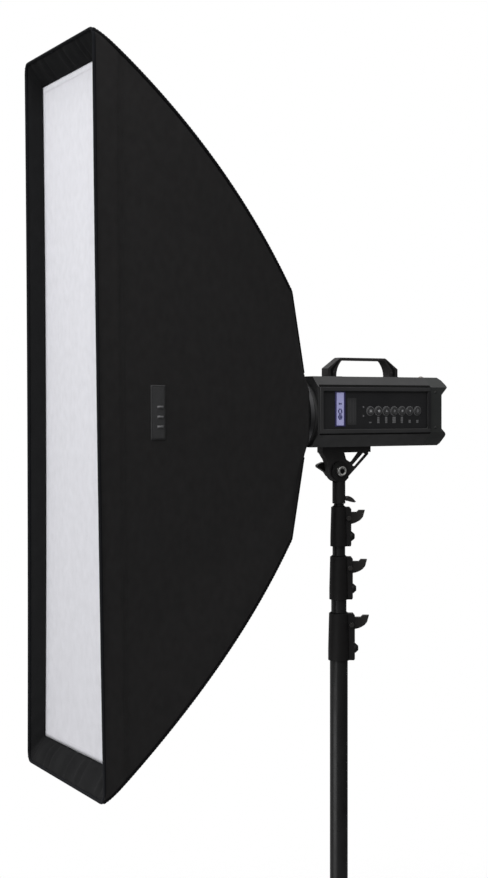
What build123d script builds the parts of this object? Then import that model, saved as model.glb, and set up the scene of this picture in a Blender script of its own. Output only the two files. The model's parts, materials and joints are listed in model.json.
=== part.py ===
from build123d import *

import math
import os

# A strip softbox on a studio flash head, held by a tilting bracket on a four-section light stand.
# The origin is on the floor under the column, +Z is up, the softbox shines towards -X, and the
# control panel of the head is on the -Y side. All sizes are in millimetres.

os.makedirs("parts", exist_ok=True)

# ---------------------------------------------------------------- fits
running_gap = 0.3  # between pieces that move past each other
seat_gap = 0.15  # between pieces that are fixed to each other
pin_gap = 0.1  # radial clearance of a pin in its bore

# ---------------------------------------------------------------- column
tube_wall = 1.5
tube_floor = 6.0
base_radius, second_radius, third_radius, top_radius = 17.5, 15.0, 12.5, 10.0
base_bottom = 45.0
base_clamp_z = 884.0  # bottom of the lower clamp
lower_clamp_height, middle_clamp_height, upper_clamp_height = 91.5, 83.5, 77.0
second_reveal, third_reveal, top_reveal = 27.5, 20.5, 7.0  # tube left showing when nested
clamp_seat = 76.0  # how far a clamp reaches down over its own tube, at most
clamp_neck = 12.0  # top stretch of a clamp that guides the inner tube
lever_azimuth = -30.0  # side of the column that the clamp ears and levers are on
ear_half = 8.0
slit_width = 2.0
screw_radius, screw_set_in = 3.0, 1.0
lever_thickness = 9.0
lever_boss_radius = 7.5
lever_drop, screw_drop = 7.5, 22.0  # below the clamp's top
nut_radius, nut_depth, dome_depth = 9.5, 3.5, 5.5
spigot_radius = 7.95

# ---------------------------------------------------------------- legs
leg_azimuths = (0.0, 120.0, 240.0)
foot_circle = 574.0
foot_radius = 15.0
foot_height = 14.0
foot_axis_z = 18.0
hub_pivot_z = 400.0
spider_pivot_z = 71.0
pivot_circle = 35.0
hub_height, spider_height = 60.0, 42.0
hub_radius, spider_radius = 27.0, 25.0
leg_width, leg_depth, leg_wall = 18.0, 24.0, 1.6
brace_thickness, brace_depth = 3.0, 16.0
ear_thickness = 5.0
leg_pin_radius, brace_pin_radius = 4.0, 3.0
rivet_radius = 4.5
knob_azimuth = 60.0
knob_radius, knob_length = 14.0, 19.0
hub_boss_reach = 32.0

# ---------------------------------------------------------------- bracket
tilt_x = -5.0
socket_radius, socket_length = 12.75, 47.0
clevis_half = 14.0
cheek_thickness = 5.5
cheek_radius = 19.0
fork_radius = 21.5
web_half, flange_half = 2.0, 10.0
neck_drop = 21.0  # from the tilt axis to the top of the bracket's round neck
clevis_depth = 28.5  # from the tilt axis to the floor of the slot that the fork's web swings through
tilt_rise = 17.0  # from the socket's top to the tilt axis
socket_ceiling = 4.0
lock_rise, lock_lever_half = 10.0, 3.5  # locking screw's height in the socket, its lever's half width
tilt_to_lamp = 110.0
bolt_radius, bolt_head_radius, bolt_head_depth = 5.0, 10.0, 6.0
flange_front, flange_rear = -44.0, 69.0
flange_thickness = 12.0
tilt_lever_thickness = 9.0

# ---------------------------------------------------------------- flash head
head_top, head_bottom = 74.0, -62.0
head_half = 66.0
top_bevel, low_bevel = 20.0, 26.0
head_front, head_rear = -91.0, 173.0
guard_end = 216.0
guard_waist = 202.0
housing_wall, guard_wall = 3.0, 5.0
panel_front, panel_rear = -80.0, 168.0
panel_low, panel_high = -27.0, 45.0
panel_depth = 2.0
panel_thickness = 3.0
rail_height, rail_proud = 9.0, 1.5
display_x, display_z = (-50.0, -30.0), (-21.0, 44.0)
button_count = 7
button_first_x, button_last_x, button_z = 30.4, 143.3, 7.5
button_radius = 8.0
button_proud = 2.0
button_travel = 1.0
board_gap = 7.0
board_thickness = 1.6
handle_width, handle_bar = 22.0, 5.5
handle_centre_x = 50.5
handle_half, handle_top_half = 83.5, 53.5
handle_height, handle_shoulder, handle_foot = 38.0, 16.5, 20.0
collar_thickness = 6.0
collar_radius = 66.0
lamp_base_radius, lamp_radius, lamp_length = 9.0, 14.0, 52.0
tube_ring_radius, tube_glass_radius, tube_ring_x = 32.0, 5.0, -125.0
capacitor_radius, capacitor_length = 21.0, 100.0
capacitor_x, capacitor_mid_y, capacitor_pitch = -25.0, 6.0, 44.0
capacitor_lift, saddle_height, saddle_thickness = 4.0, 12.0, 4.0
rear_panel_thickness = 3.0
inlet_y, inlet_z = -24.0, -22.0
inlet_width, inlet_height, inlet_depth = 27.0, 20.0, 16.0
switch_y, switch_z = 26.0, -20.0
switch_width, switch_radius = 13.0, 10.5
switch_frame, switch_pin_radius, switch_pin_length = 4.0, 1.5, 2.0
fan_x, fan_radius, fan_hub_radius, fan_depth = 150.0, 36.0, 13.0, 14.0
fan_z, fan_blades, blade_thickness = 6.0, 7, 1.6
spindle_radius = 3.0
eye_x, eye_y, eye_radius = 185.0, -20.0, 8.0

# ---------------------------------------------------------------- softbox
box_rear = -118.5
front_half_width, front_half_height = 161.0, 643.0
rear_depth, rear_half_height, rear_half_width = 470.5, 80.0, 58.0
kink_lead, kink_half_height = 44.5, 232.0  # the straight rod sockets end here, before the box's rear
rear_side_half = 78.0
side_draw = 1.5  # how far the fabric's middle is drawn in at the front edge
rod_bow = 30.0
bow_steps = 8
cover_wall = 2.5
lip_depth, lip_side_inset, lip_end_inset = 30.0, 14.0, 40.0
diffuser_thickness = 1.5
baffle_depth = 209.0
baffle_side_gap, baffle_end_gap = 27.6, 42.5  # from the baffle to the rods' edges
strap_width = 22.0
rod_radius, rod_socket_radius = 2.5, 4.0
pocket_radius, pocket_length = 4.3, 26.0
rod_inset = 8.6
rod_tip_depth = 36.0
ring_radius, ring_front, ring_rear = 70.0, -125.7, -101.0
ring_flange_front = -135.5
adapter_radius, adapter_bore = 58.0, 50.0
adapter_front, adapter_flange = -129.0, 3.0
rod_root_x, rod_root_y, rod_root_z = -129.5, 50.0, 58.0
lug_radius, lug_behind, lug_length = 6.5, 3.0, 22.0
cuff_wall, cuff_lead, cuff_length = 2.0, 2.5, 9.5
ring_screw_x, ring_screw_azimuth = -106.0, 20.0

# ---------------------------------------------------------------- worked out
middle_clamp_z = base_clamp_z + lower_clamp_height + second_reveal
upper_clamp_z = middle_clamp_z + middle_clamp_height + third_reveal
socket_z = upper_clamp_z + upper_clamp_height + top_reveal
socket_top = socket_z + socket_length
tilt_z = socket_top + tilt_rise
lamp_z = tilt_z + tilt_to_lamp
clevis_floor = tilt_z - clevis_depth
socket_bore = clevis_floor - socket_ceiling - socket_z
box_front = box_rear - rear_depth
kink_depth = rear_depth - kink_lead
cuff_front = box_rear - cuff_lead


def keep(part, name):
    """Label a finished piece and write it."""
    part.label = name
    export_step(part, f"parts/{name}.step")


def outward(azimuth):
    """Unit vector from the column towards an azimuth."""
    turn = math.radians(azimuth)
    return Vector(math.cos(turn), math.sin(turn), 0)


def upright(azimuth, shift=0.0):
    """Vertical plane through the column: x outward, y up, moved along its normal."""
    out = outward(azimuth)
    return Plane(origin=(0, 0, 0), x_dir=out, z_dir=out.cross(Vector(0, 0, 1))).offset(shift)


def across(x):
    """Plane square to the lamp axis at x, centred on it: local x is +Y, local y is +Z."""
    return Plane(origin=(x, 0, lamp_z), x_dir=(0, 1, 0), z_dir=(1, 0, 0))


def side(y, height=lamp_z):
    """Plane square to Y: local x is +X, local y is +Z, and its normal is -Y."""
    return Plane(origin=(0, y, height), x_dir=(1, 0, 0), z_dir=(0, -1, 0))


def drill(plane, places, radius, length):
    """Cut round holes of one radius both ways from a plane in the part under way."""
    with BuildSketch(plane) as holes:
        with Locations(*places):
            Circle(radius)
    extrude(holes.sketch, amount=length, both=True, mode=Mode.SUBTRACT)


# ================================================================ column
def nested_tube(radius, bottom, top):
    """One column tube with a closed lower end."""
    with BuildPart() as tube:
        with BuildSketch(Plane.XY.offset(bottom)):
            Circle(radius)
        extrude(amount=top - bottom)
        with BuildSketch(Plane.XY.offset(bottom + tube_floor)):
            Circle(radius - tube_wall)
        extrude(amount=top - bottom, mode=Mode.SUBTRACT)
    return tube.part


def clamp_shape(body_radius, ear_reach, height):
    """Sizes of a clamp that its lever shares: screw place, lever offset."""
    screw_out = (body_radius + ear_reach) / 2 - screw_set_in
    lever_shift = body_radius + 2 * running_gap
    return screw_out, height - screw_drop, lever_shift


def collar_clamp(bottom, height, own_radius, inner_radius, body_radius, ear_reach):
    """Cast clamp at the top of a tube: tapered barrel, split ear, dome nut."""
    screw_out, screw_up, _ = clamp_shape(body_radius, ear_reach, height)
    nut_z = bottom + 0.25 * height
    with BuildPart() as clamp:
        with BuildSketch(Plane.XZ):
            Polygon(
                (0, bottom),
                (body_radius, bottom),
                (body_radius, bottom + 0.25 * height),
                (body_radius - 1.6, bottom + height),
                (0, bottom + height),
            )
        revolve(axis=Axis.Z)
        with BuildSketch(upright(lever_azimuth)):
            with BuildLine():
                Polyline(
                    (0, bottom),
                    (ear_reach - 1.5, bottom),
                    (ear_reach, bottom + 3),
                    (ear_reach, bottom + height - 4),
                    (ear_reach - 3, bottom + height),
                    (0, bottom + height),
                    close=True,
                )
            make_face()
        extrude(amount=ear_half, both=True)
        nut_plane = Plane(
            origin=outward(lever_azimuth) * (ear_reach - 2) + Vector(0, 0, nut_z),
            z_dir=outward(lever_azimuth),
        )
        with BuildSketch(nut_plane):
            Circle(nut_radius)
        extrude(amount=nut_depth)
        with BuildSketch(nut_plane.offset(nut_depth)):
            Circle(nut_radius)
        extrude(amount=dome_depth, taper=42)
        with BuildSketch(Plane.XY.offset(bottom)):
            Circle(own_radius + seat_gap)
        extrude(amount=height - clamp_neck, mode=Mode.SUBTRACT)
        with BuildSketch(Plane.XY.offset(bottom)):
            Circle(inner_radius + running_gap)
        extrude(amount=height, mode=Mode.SUBTRACT)
        with BuildSketch(upright(lever_azimuth)):
            with Locations(((ear_reach + own_radius) / 2, bottom + 0.75 * height)):
                Rectangle(ear_reach - own_radius + 12, height / 2 + 1)
        extrude(amount=slit_width / 2, both=True, mode=Mode.SUBTRACT)
        drill(upright(lever_azimuth), [(screw_out, bottom + screw_up)], screw_radius + pin_gap, 30)
    return clamp.part


def clamp_lever(bottom, height, body_radius, ear_reach, reach):
    """Wing lever on a tangential screw: boss, stem through the ear, curved wing with a raised tip."""
    screw_out, screw_up, shift = clamp_shape(body_radius, ear_reach, height)
    top = bottom + height - lever_drop
    back = upright(lever_azimuth, -shift)
    with BuildPart() as lever:
        with BuildSketch(back):
            with BuildLine():
                outline = Polyline(
                    (screw_out + 7, top - 27.5),
                    (screw_out, top - 25),
                    (screw_out, top - 4),
                    (reach - 16, top - 4),
                    (reach - 12, top),
                    (reach, top),
                    (reach - 4, top - 14),
                    (reach - 8, top - 19),
                )
                ThreePointArc(outline @ 1, (reach - 16, top - 24), outline @ 0)
            make_face()
            with Locations((screw_out, bottom + screw_up)):
                Circle(lever_boss_radius)
        extrude(amount=-lever_thickness)
        with BuildSketch(back):
            with Locations((screw_out, bottom + screw_up)):
                Circle(screw_radius)
        extrude(amount=shift + ear_half)
        with BuildSketch(upright(lever_azimuth, ear_half + running_gap)):
            with Locations((screw_out, bottom + screw_up)):
                RegularPolygon(5.2, 6)
        extrude(amount=4)
        with BuildSketch(upright(lever_azimuth, ear_half)):
            with Locations((screw_out, bottom + screw_up)):
                Circle(screw_radius)
        extrude(amount=1)
    return lever.part


base_top = base_clamp_z + min(clamp_seat, lower_clamp_height - clamp_neck - seat_gap)
second_top = middle_clamp_z + min(clamp_seat, middle_clamp_height - clamp_neck - seat_gap)
third_top = upper_clamp_z + min(clamp_seat, upper_clamp_height - clamp_neck - seat_gap)
second_bottom = base_bottom + tube_floor + running_gap
third_bottom = second_bottom + tube_floor + running_gap
top_bottom = third_bottom + tube_floor + running_gap

keep(nested_tube(base_radius, base_bottom, base_top), "base_tube")
keep(nested_tube(second_radius, second_bottom, second_top), "second_tube")
keep(nested_tube(third_radius, third_bottom, third_top), "third_tube")

with BuildPart() as top_tube:
    add(nested_tube(top_radius, top_bottom, socket_z - 1))
    with BuildSketch(Plane.XY.offset(socket_z - 1 - tube_floor)):
        Circle(top_radius)
    extrude(amount=tube_floor)
    with BuildSketch(Plane.XY.offset(socket_z - 1)):
        Circle(spigot_radius)
    extrude(amount=socket_bore)
    chamfer(top_tube.faces().sort_by(Axis.Z)[-1].edges(), 1)
keep(top_tube.part, "top_tube")

clamps = (
    ("lower", base_clamp_z, lower_clamp_height, base_radius, second_radius, 21.0, 31.0, 61.0),
    ("middle", middle_clamp_z, middle_clamp_height, second_radius, third_radius, 18.8, 27.0, 57.0),
    ("upper", upper_clamp_z, upper_clamp_height, third_radius, top_radius, 16.8, 24.0, 52.5),
)
for size, bottom, height, own, inner, body, ear, reach in clamps:
    keep(collar_clamp(bottom, height, own, inner, body, ear), f"{size}_clamp")
    keep(clamp_lever(bottom, height, body, ear, reach), f"{size}_clamp_lever")

# ================================================================ legs
foot_run = foot_circle - pivot_circle
foot_drop = hub_pivot_z - foot_axis_z
leg_angle = math.atan2(foot_run, foot_drop)  # from the vertical
leg_length = math.hypot(foot_run, foot_drop)
brace_length = (hub_pivot_z - spider_pivot_z) / (2 * math.cos(leg_angle))
strap_inner = leg_width / 2 + 2 * running_gap


def leg_plane(azimuth, shift=0.0):
    """Plane of a leg: x runs down the leg from its pivot, y is its upper side."""
    flat = upright(azimuth)
    down = outward(azimuth) * math.sin(leg_angle) - Vector(0, 0, math.cos(leg_angle))
    start = outward(azimuth) * pivot_circle + Vector(0, 0, hub_pivot_z)
    return Plane(origin=start, x_dir=down, z_dir=flat.z_dir).offset(shift)


def brace_plane(azimuth, shift=0.0):
    """Plane of a brace: x runs up the brace from the spider's pivot."""
    flat = upright(azimuth)
    up = outward(azimuth) * math.sin(leg_angle) + Vector(0, 0, math.cos(leg_angle))
    start = outward(azimuth) * pivot_circle + Vector(0, 0, spider_pivot_z)
    return Plane(origin=start, x_dir=up, z_dir=flat.z_dir).offset(shift)


def leg_bar(azimuth, grow=0.0):
    """Outer shape of a leg, grown all round by a clearance."""
    half = leg_depth / 2 + grow
    with BuildPart() as bar:
        with BuildSketch(leg_plane(azimuth)):
            Circle(half)
            Polygon((0, -half), (leg_length + 4 + grow, -half), (leg_length + 4 + grow, half), (0, half))
        extrude(amount=leg_width / 2 + grow, both=True)
    return bar.part


def leg(azimuth):
    """Channel leg, open on its underside."""
    half = leg_depth / 2
    with BuildPart() as bar:
        add(leg_bar(azimuth))
        with BuildSketch(leg_plane(azimuth)):
            Polygon(
                (-leg_depth, -leg_depth),
                (leg_length + leg_depth, -leg_depth),
                (leg_length + leg_depth, half - leg_wall),
                (-leg_depth, half - leg_wall),
            )
        extrude(amount=leg_width / 2 - leg_wall, both=True, mode=Mode.SUBTRACT)
        drill(leg_plane(azimuth), [(0, 0)], leg_pin_radius + pin_gap, leg_width)
    return bar.part


def foot(azimuth):
    """Rubber boot on a leg's end, with a flat sole on the floor."""
    grow = 3.0
    half = leg_depth / 2 + grow
    with BuildPart() as boot:
        with BuildSketch(leg_plane(azimuth)):
            Polygon(
                (leg_length - 44, -half),
                (leg_length + 4 + grow, -half),
                (leg_length + 4 + grow, half),
                (leg_length - 44, half),
            )
        extrude(amount=leg_width / 2 + grow, both=True)
        split(bisect_by=Plane.XY, keep=Keep.TOP)
        with BuildSketch(Plane(origin=outward(azimuth) * foot_circle)):
            Circle(foot_radius)
        extrude(amount=foot_height)
        add(leg_bar(azimuth, seat_gap), mode=Mode.SUBTRACT)
    return boot.part


def brace(azimuth):
    """Two straps astride the leg, joined by the pin that turns in the spider."""
    half = brace_depth / 2
    with BuildPart() as straps:
        for inner, thick in ((strap_inner, brace_thickness), (-strap_inner, -brace_thickness)):
            with BuildSketch(brace_plane(azimuth, inner)):
                Circle(half)
                with Locations((brace_length, 0)):
                    Circle(half)
                Polygon((0, -half), (brace_length, -half), (brace_length, half), (0, half))
            extrude(amount=thick)
            with BuildSketch(brace_plane(azimuth, inner + thick)):
                with Locations((brace_length, 0), (0, 0)):
                    Circle(rivet_radius)
            extrude(amount=thick / 2)
        with BuildSketch(brace_plane(azimuth)):
            Circle(brace_pin_radius)
        extrude(amount=strap_inner + 1, both=True)
    return straps.part


knob_plane = Plane(origin=(0, 0, hub_pivot_z), z_dir=outward(knob_azimuth))
pin_reach = leg_width / 2 + running_gap + ear_thickness

with BuildPart() as leg_collar:
    with BuildSketch(Plane.XY.offset(hub_pivot_z - hub_height / 2)):
        Circle(hub_radius)
    extrude(amount=hub_height)
    for azimuth in leg_azimuths:
        with BuildSketch(upright(azimuth)):
            with Locations((pivot_circle, hub_pivot_z)):
                Circle(13)
            Polygon(
                (base_radius + 3, hub_pivot_z - 24),
                (hub_radius, hub_pivot_z - 24),
                (pivot_circle + 9, hub_pivot_z - 9.4),
                (pivot_circle + 9, hub_pivot_z + 9.4),
                (hub_radius, hub_pivot_z + 24),
                (base_radius + 3, hub_pivot_z + 24),
            )
        extrude(amount=pin_reach, both=True)
        with BuildSketch(upright(azimuth)):
            with Locations((pivot_circle + hub_radius / 2, hub_pivot_z)):
                Rectangle(leg_depth + hub_radius + 2, hub_height + 20)
        extrude(amount=leg_width / 2 + running_gap, both=True, mode=Mode.SUBTRACT)
        drill(upright(azimuth), [(pivot_circle, hub_pivot_z)], leg_pin_radius + seat_gap, 30)
    with BuildSketch(knob_plane):
        Circle(9)
    extrude(amount=hub_boss_reach)
    with BuildSketch(Plane.XY.offset(hub_pivot_z - hub_height / 2)):
        Circle(base_radius + running_gap)
    extrude(amount=hub_height, mode=Mode.SUBTRACT)
    with BuildSketch(knob_plane):
        Circle(leg_pin_radius + pin_gap)
    extrude(amount=hub_boss_reach, mode=Mode.SUBTRACT)
keep(leg_collar.part, "leg_collar")

with BuildPart() as leg_pins:
    for azimuth in leg_azimuths:
        with BuildSketch(upright(azimuth)):
            with Locations((pivot_circle, hub_pivot_z)):
                Circle(leg_pin_radius)
        extrude(amount=pin_reach + 0.5, both=True)
        for shift, thick in ((pin_reach + seat_gap, 2.5), (-pin_reach - seat_gap, -2.5)):
            with BuildSketch(upright(azimuth, shift)):
                with Locations((pivot_circle, hub_pivot_z)):
                    Circle(leg_pin_radius + 2.5)
            extrude(amount=thick)
keep(leg_pins.part, "leg_pins")

with BuildPart() as leg_lock_knob:
    with BuildSketch(knob_plane.offset(base_radius + 2 * running_gap)):
        Circle(leg_pin_radius)
    extrude(amount=hub_boss_reach - base_radius + 4)
    with BuildSketch(knob_plane.offset(hub_boss_reach + running_gap)):
        Circle(knob_radius)
        with PolarLocations(knob_radius + 2, 6):
            Circle(4.5, mode=Mode.SUBTRACT)
    extrude(amount=knob_length)
    chamfer(leg_lock_knob.faces().sort_by(Axis(knob_plane.origin, knob_plane.z_dir))[-1].edges(), 1.2)
keep(leg_lock_knob.part, "leg_lock_knob")

with BuildPart() as lower_spider:
    with BuildSketch(Plane.XY.offset(spider_pivot_z - spider_height / 2)):
        Circle(spider_radius)
    extrude(amount=spider_height)
    for azimuth in leg_azimuths:
        with BuildSketch(upright(azimuth)):
            with Locations((pivot_circle, spider_pivot_z)):
                Circle(9)
            Polygon(
                (base_radius + 3, spider_pivot_z - 16),
                (spider_radius, spider_pivot_z - 16),
                (pivot_circle + 5.6, spider_pivot_z - 7),
                (pivot_circle + 5.6, spider_pivot_z + 7),
                (spider_radius, spider_pivot_z + 16),
                (base_radius + 3, spider_pivot_z + 16),
            )
        extrude(amount=leg_width / 2, both=True)
        for turn in (-1, 1):
            with BuildSketch(upright(azimuth, turn * (leg_width / 2 + brace_thickness))):
                with Locations((pivot_circle, spider_pivot_z)):
                    Circle(brace_depth / 2 + 2)
            extrude(amount=brace_thickness + 3, both=True, mode=Mode.SUBTRACT)
        drill(upright(azimuth), [(pivot_circle, spider_pivot_z)], brace_pin_radius + pin_gap, 30)
    with BuildSketch(Plane.XY.offset(spider_pivot_z - spider_height / 2)):
        Circle(base_radius + seat_gap)
    extrude(amount=spider_height, mode=Mode.SUBTRACT)
keep(lower_spider.part, "lower_spider")

for number, azimuth in enumerate(leg_azimuths, start=1):
    keep(leg(azimuth), f"leg_{number}")
    keep(foot(azimuth), f"foot_{number}")
    keep(brace(azimuth), f"brace_{number}")

# ================================================================ bracket
cheek_inner = clevis_half - cheek_thickness
tilt_plane = side(0, tilt_z)
lock_plane = Plane(origin=(0, 0, socket_z + lock_rise), z_dir=outward(lever_azimuth))

cheek_foot = clevis_floor - 8.0
cheek_head = tilt_z + cheek_radius + 2.0

with BuildPart() as cheeks:
    with BuildSketch(Plane.XZ):
        Polygon(
            (0, cheek_foot),
            (socket_radius, cheek_foot),
            (socket_radius, tilt_z - neck_drop),
            (socket_radius + 3.5, tilt_z - neck_drop + 4),
            (2 * cheek_radius, tilt_z + 4),
            (2 * cheek_radius, cheek_head),
            (0, cheek_head),
        )
    revolve(axis=Axis.Z)
    with BuildSketch(tilt_plane):
        with BuildLine():
            CenterArc((tilt_x, 0), cheek_radius, 0, 360)
            Line((-socket_radius, cheek_foot - tilt_z), (socket_radius, cheek_foot - tilt_z))
        make_hull()
    extrude(amount=clevis_half, both=True, mode=Mode.INTERSECT)

with BuildPart() as bracket_socket:
    with BuildSketch(Plane.XY.offset(socket_z)):
        Circle(socket_radius)
    extrude(amount=clevis_floor - socket_z)
    add(cheeks.part)
    with BuildSketch(side(0, tilt_z - fork_radius - 1)):
        with Locations((0, 60)):
            Rectangle(120, 120)
    extrude(amount=cheek_inner, both=True, mode=Mode.SUBTRACT)
    with BuildSketch(side(0, clevis_floor)):
        with Locations((tilt_x - 5.5, 0)):
            Rectangle(60, 40, align=(Align.MIN, Align.MIN))
    extrude(amount=web_half + running_gap, both=True, mode=Mode.SUBTRACT)
    drill(tilt_plane, [(tilt_x, 0)], bolt_radius + seat_gap, 40)
    with BuildSketch(Plane.XY.offset(socket_z)):
        Circle(spigot_radius + running_gap)
    extrude(amount=socket_bore, mode=Mode.SUBTRACT)
    with BuildSketch(lock_plane):
        Circle(screw_radius + pin_gap)
    extrude(amount=30, mode=Mode.SUBTRACT)
keep(bracket_socket.part, "bracket_socket")

with BuildPart() as bracket_lock_lever:
    with BuildSketch(lock_plane.offset(spigot_radius + 2 * running_gap)):
        Circle(screw_radius)
    extrude(amount=socket_radius - spigot_radius + 2)
    with BuildSketch(lock_plane.offset(socket_radius + running_gap)):
        Circle(4.5)
    extrude(amount=5)
    with BuildSketch(upright(lever_azimuth)):
        Polygon(
            (socket_radius + 1, socket_z + lock_rise + 4),
            (socket_radius + 6.5, socket_z + lock_rise + 4.4),
            (socket_radius + 11.7, socket_z + lock_rise + 2.2),
            (socket_radius + 15.7, socket_z + lock_rise - 0.6),
            (socket_radius + 20.7, socket_z + lock_rise - 6.7),
            (socket_radius + 17.7, socket_z + lock_rise - 8.3),
            (socket_radius + 10.6, socket_z + lock_rise - 7.1),
            (socket_radius + 3.5, socket_z + lock_rise - 5.1),
            (socket_radius + 1, socket_z + lock_rise - 5.1),
        )
    extrude(amount=lock_lever_half, both=True)
keep(bracket_lock_lever.part, "bracket_lock_lever")

flange_high = tilt_to_lamp + head_bottom
flange_low = flange_high - flange_thickness

with BuildPart() as bracket_fork:
    with BuildSketch(tilt_plane):
        with Locations((tilt_x, 0)):
            Circle(fork_radius)
        Polygon(
            (tilt_x - 38, flange_low),
            (tilt_x - 29, flange_low - 12.5),
            (tilt_x - 26.5, flange_low - 17.5),
            (tilt_x - fork_radius + 0.5, 0),
            (tilt_x + fork_radius - 0.5, 0),
            (tilt_x + 20, flange_low - 22),
            (tilt_x + 16, flange_low - 11),
            (tilt_x + 12.5, flange_low),
        )
    extrude(amount=cheek_inner - running_gap, both=True)
    with BuildSketch(tilt_plane):
        Polygon(
            (tilt_x, 0),
            (tilt_x, flange_low),
            (flange_rear, flange_low),
            (flange_rear, flange_low - 4.5),
            (tilt_x + 19.5, -18),
            (tilt_x + 6, -18),
        )
        Polygon(
            (tilt_x + 12, flange_low - 0.5),
            (tilt_x + 50.5, flange_low - 0.5),
            (tilt_x + 35, flange_low - 18),
            (tilt_x + 31, flange_low - 19.5),
            (tilt_x + 24, flange_low - 16),
            (tilt_x + 17, flange_low - 11),
            mode=Mode.SUBTRACT,
        )
        Polygon(
            (tilt_x + 35.5, flange_low - 25.8),
            (tilt_x + 62.5, flange_low - 1),
            (tilt_x + 67.5, flange_low - 4.5),
            (tilt_x + 41.5, flange_low - 28.8),
            mode=Mode.SUBTRACT,
        )
    extrude(amount=web_half, both=True)
    with BuildSketch(tilt_plane):
        Polygon(
            (flange_front, flange_low),
            (flange_rear, flange_low),
            (flange_rear, flange_high),
            (flange_front, flange_high),
        )
    extrude(amount=flange_half, both=True)
    drill(tilt_plane, [(tilt_x, 0)], bolt_radius + pin_gap, 40)
keep(bracket_fork.part, "bracket_fork")

with BuildPart() as tilt_bolt:
    with BuildSketch(side(-clevis_half - seat_gap, tilt_z)):
        with Locations((tilt_x, 0)):
            Circle(bolt_head_radius)
    extrude(amount=bolt_head_depth)
    chamfer(tilt_bolt.faces().sort_by(Axis.Y)[0].edges(), 1.5)
    with BuildSketch(side(-clevis_half - seat_gap, tilt_z)):
        with Locations((tilt_x, 0)):
            Circle(bolt_radius)
    extrude(amount=-(2 * clevis_half + tilt_lever_thickness + 4))
keep(tilt_bolt.part, "tilt_bolt")

with BuildPart() as tilt_lever:
    with BuildSketch(side(clevis_half + running_gap, tilt_z)):
        with Locations((tilt_x, 0)):
            Circle(11)
        Polygon(
            (tilt_x - 22, 17),
            (tilt_x - 32.5, 13),
            (tilt_x - 35.5, 10.3),
            (tilt_x - 34, 6.8),
            (tilt_x - 17, -3),
            (tilt_x - 11, -11),
            (tilt_x, -14),
            (tilt_x + 10, -5),
            (tilt_x + 9, 8),
            (tilt_x, 13),
        )
    extrude(amount=-tilt_lever_thickness)
    drill(tilt_plane, [(tilt_x, 0)], bolt_radius + pin_gap, 60)
keep(tilt_lever.part, "tilt_lever")

# ================================================================ flash head
def head_outline(inset=0.0):
    """Eight-sided section of the head, drawn inward by a wall."""
    top, low, half = head_top - inset, head_bottom + inset, head_half - inset
    corner = inset * math.tan(math.radians(22.5))
    return (
        (half - top_bevel + corner, top),
        (half, top - top_bevel + corner),
        (half, low + low_bevel - corner),
        (half - low_bevel + corner, low),
        (-half + low_bevel - corner, low),
        (-half, low + low_bevel - corner),
        (-half, top - top_bevel + corner),
        (-half + top_bevel - corner, top),
    )


panel_mid_x = (panel_front + panel_rear) / 2
panel_mid_z = (panel_low + panel_high) / 2
panel_length = panel_rear - panel_front
panel_height = panel_high - panel_low
panel_face = -head_half + panel_depth  # outer face of the control panel
panel_back = panel_face + panel_thickness
rail_length = panel_length + 10
button_pitch = (button_last_x - button_first_x) / (button_count - 1)
button_places = [(button_first_x + n * button_pitch, button_z) for n in range(button_count)]
display_width = display_x[1] - display_x[0]
display_height = display_z[1] - display_z[0]
display_mid = (sum(display_x) / 2, sum(display_z) / 2)
capacitor_z = head_bottom + housing_wall + capacitor_lift + capacitor_radius
capacitor_places = [(capacitor_mid_y + turn * capacitor_pitch / 2, capacitor_z) for turn in (-1, 1)]

with BuildPart() as main_housing:
    with BuildSketch(across(head_front)):
        Polygon(*head_outline())
    extrude(amount=head_rear - head_front)
    with BuildSketch(across(head_front + housing_wall)):
        Polygon(*head_outline(housing_wall))
    extrude(amount=head_rear - head_front, mode=Mode.SUBTRACT)
    with BuildSketch(side(-head_half)):
        with Locations((panel_mid_x, panel_mid_z)):
            RectangleRounded(panel_length + 2 * seat_gap, panel_height + 2 * seat_gap, 4)
    extrude(amount=-2 * housing_wall, mode=Mode.SUBTRACT)
    for face in (-1, 1):
        for edge in (panel_low - rail_height / 2, panel_high + rail_height / 2):
            with BuildSketch(side(face * head_half)):
                with Locations((panel_mid_x, edge)):
                    RectangleRounded(rail_length, rail_height - 1, rail_height / 2 - 0.6)
            extrude(amount=-face * rail_proud)
    with BuildSketch(side(head_half)):
        with GridLocations(26, 7, 7, 7):
            with Locations((panel_mid_x, panel_mid_z)):
                SlotOverall(20, 3)
    extrude(amount=2 * housing_wall, mode=Mode.SUBTRACT)
    for saddle_x in (capacitor_x + 15, capacitor_x + capacitor_length - 15 - saddle_thickness):
        with BuildSketch(across(saddle_x)):
            with Locations((capacitor_mid_y, head_bottom + housing_wall + saddle_height / 2)):
                Rectangle(2 * capacitor_radius + capacitor_pitch - 14, saddle_height)
            with Locations(*capacitor_places):
                Circle(capacitor_radius + seat_gap, mode=Mode.SUBTRACT)
        extrude(amount=saddle_thickness)
keep(main_housing.part, "main_housing")

with BuildPart() as control_panel:
    with BuildSketch(side(panel_face)):
        with Locations((panel_mid_x, panel_mid_z)):
            RectangleRounded(panel_length, panel_height, 4)
    extrude(amount=-panel_thickness)
    with BuildSketch(side(panel_face)):
        with Locations(display_mid):
            RectangleRounded(display_width + 2 * seat_gap, display_height + 2 * seat_gap, 2)
    extrude(amount=-panel_thickness, mode=Mode.SUBTRACT)
    drill(side(panel_face), button_places, button_radius + running_gap, panel_thickness + 1)
    with BuildSketch(side(panel_back)):
        with Locations((panel_mid_x, panel_mid_z)):
            with GridLocations(panel_length - 14, panel_height - 12, 2, 2):
                Circle(3)
    extrude(amount=-(board_gap - seat_gap))
keep(control_panel.part, "control_panel")

with BuildPart() as display:
    with BuildSketch(side(panel_face - 0.4)):
        with Locations(display_mid):
            RectangleRounded(display_width, display_height, 2)
    extrude(amount=-panel_thickness)
keep(display.part, "display")

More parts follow.
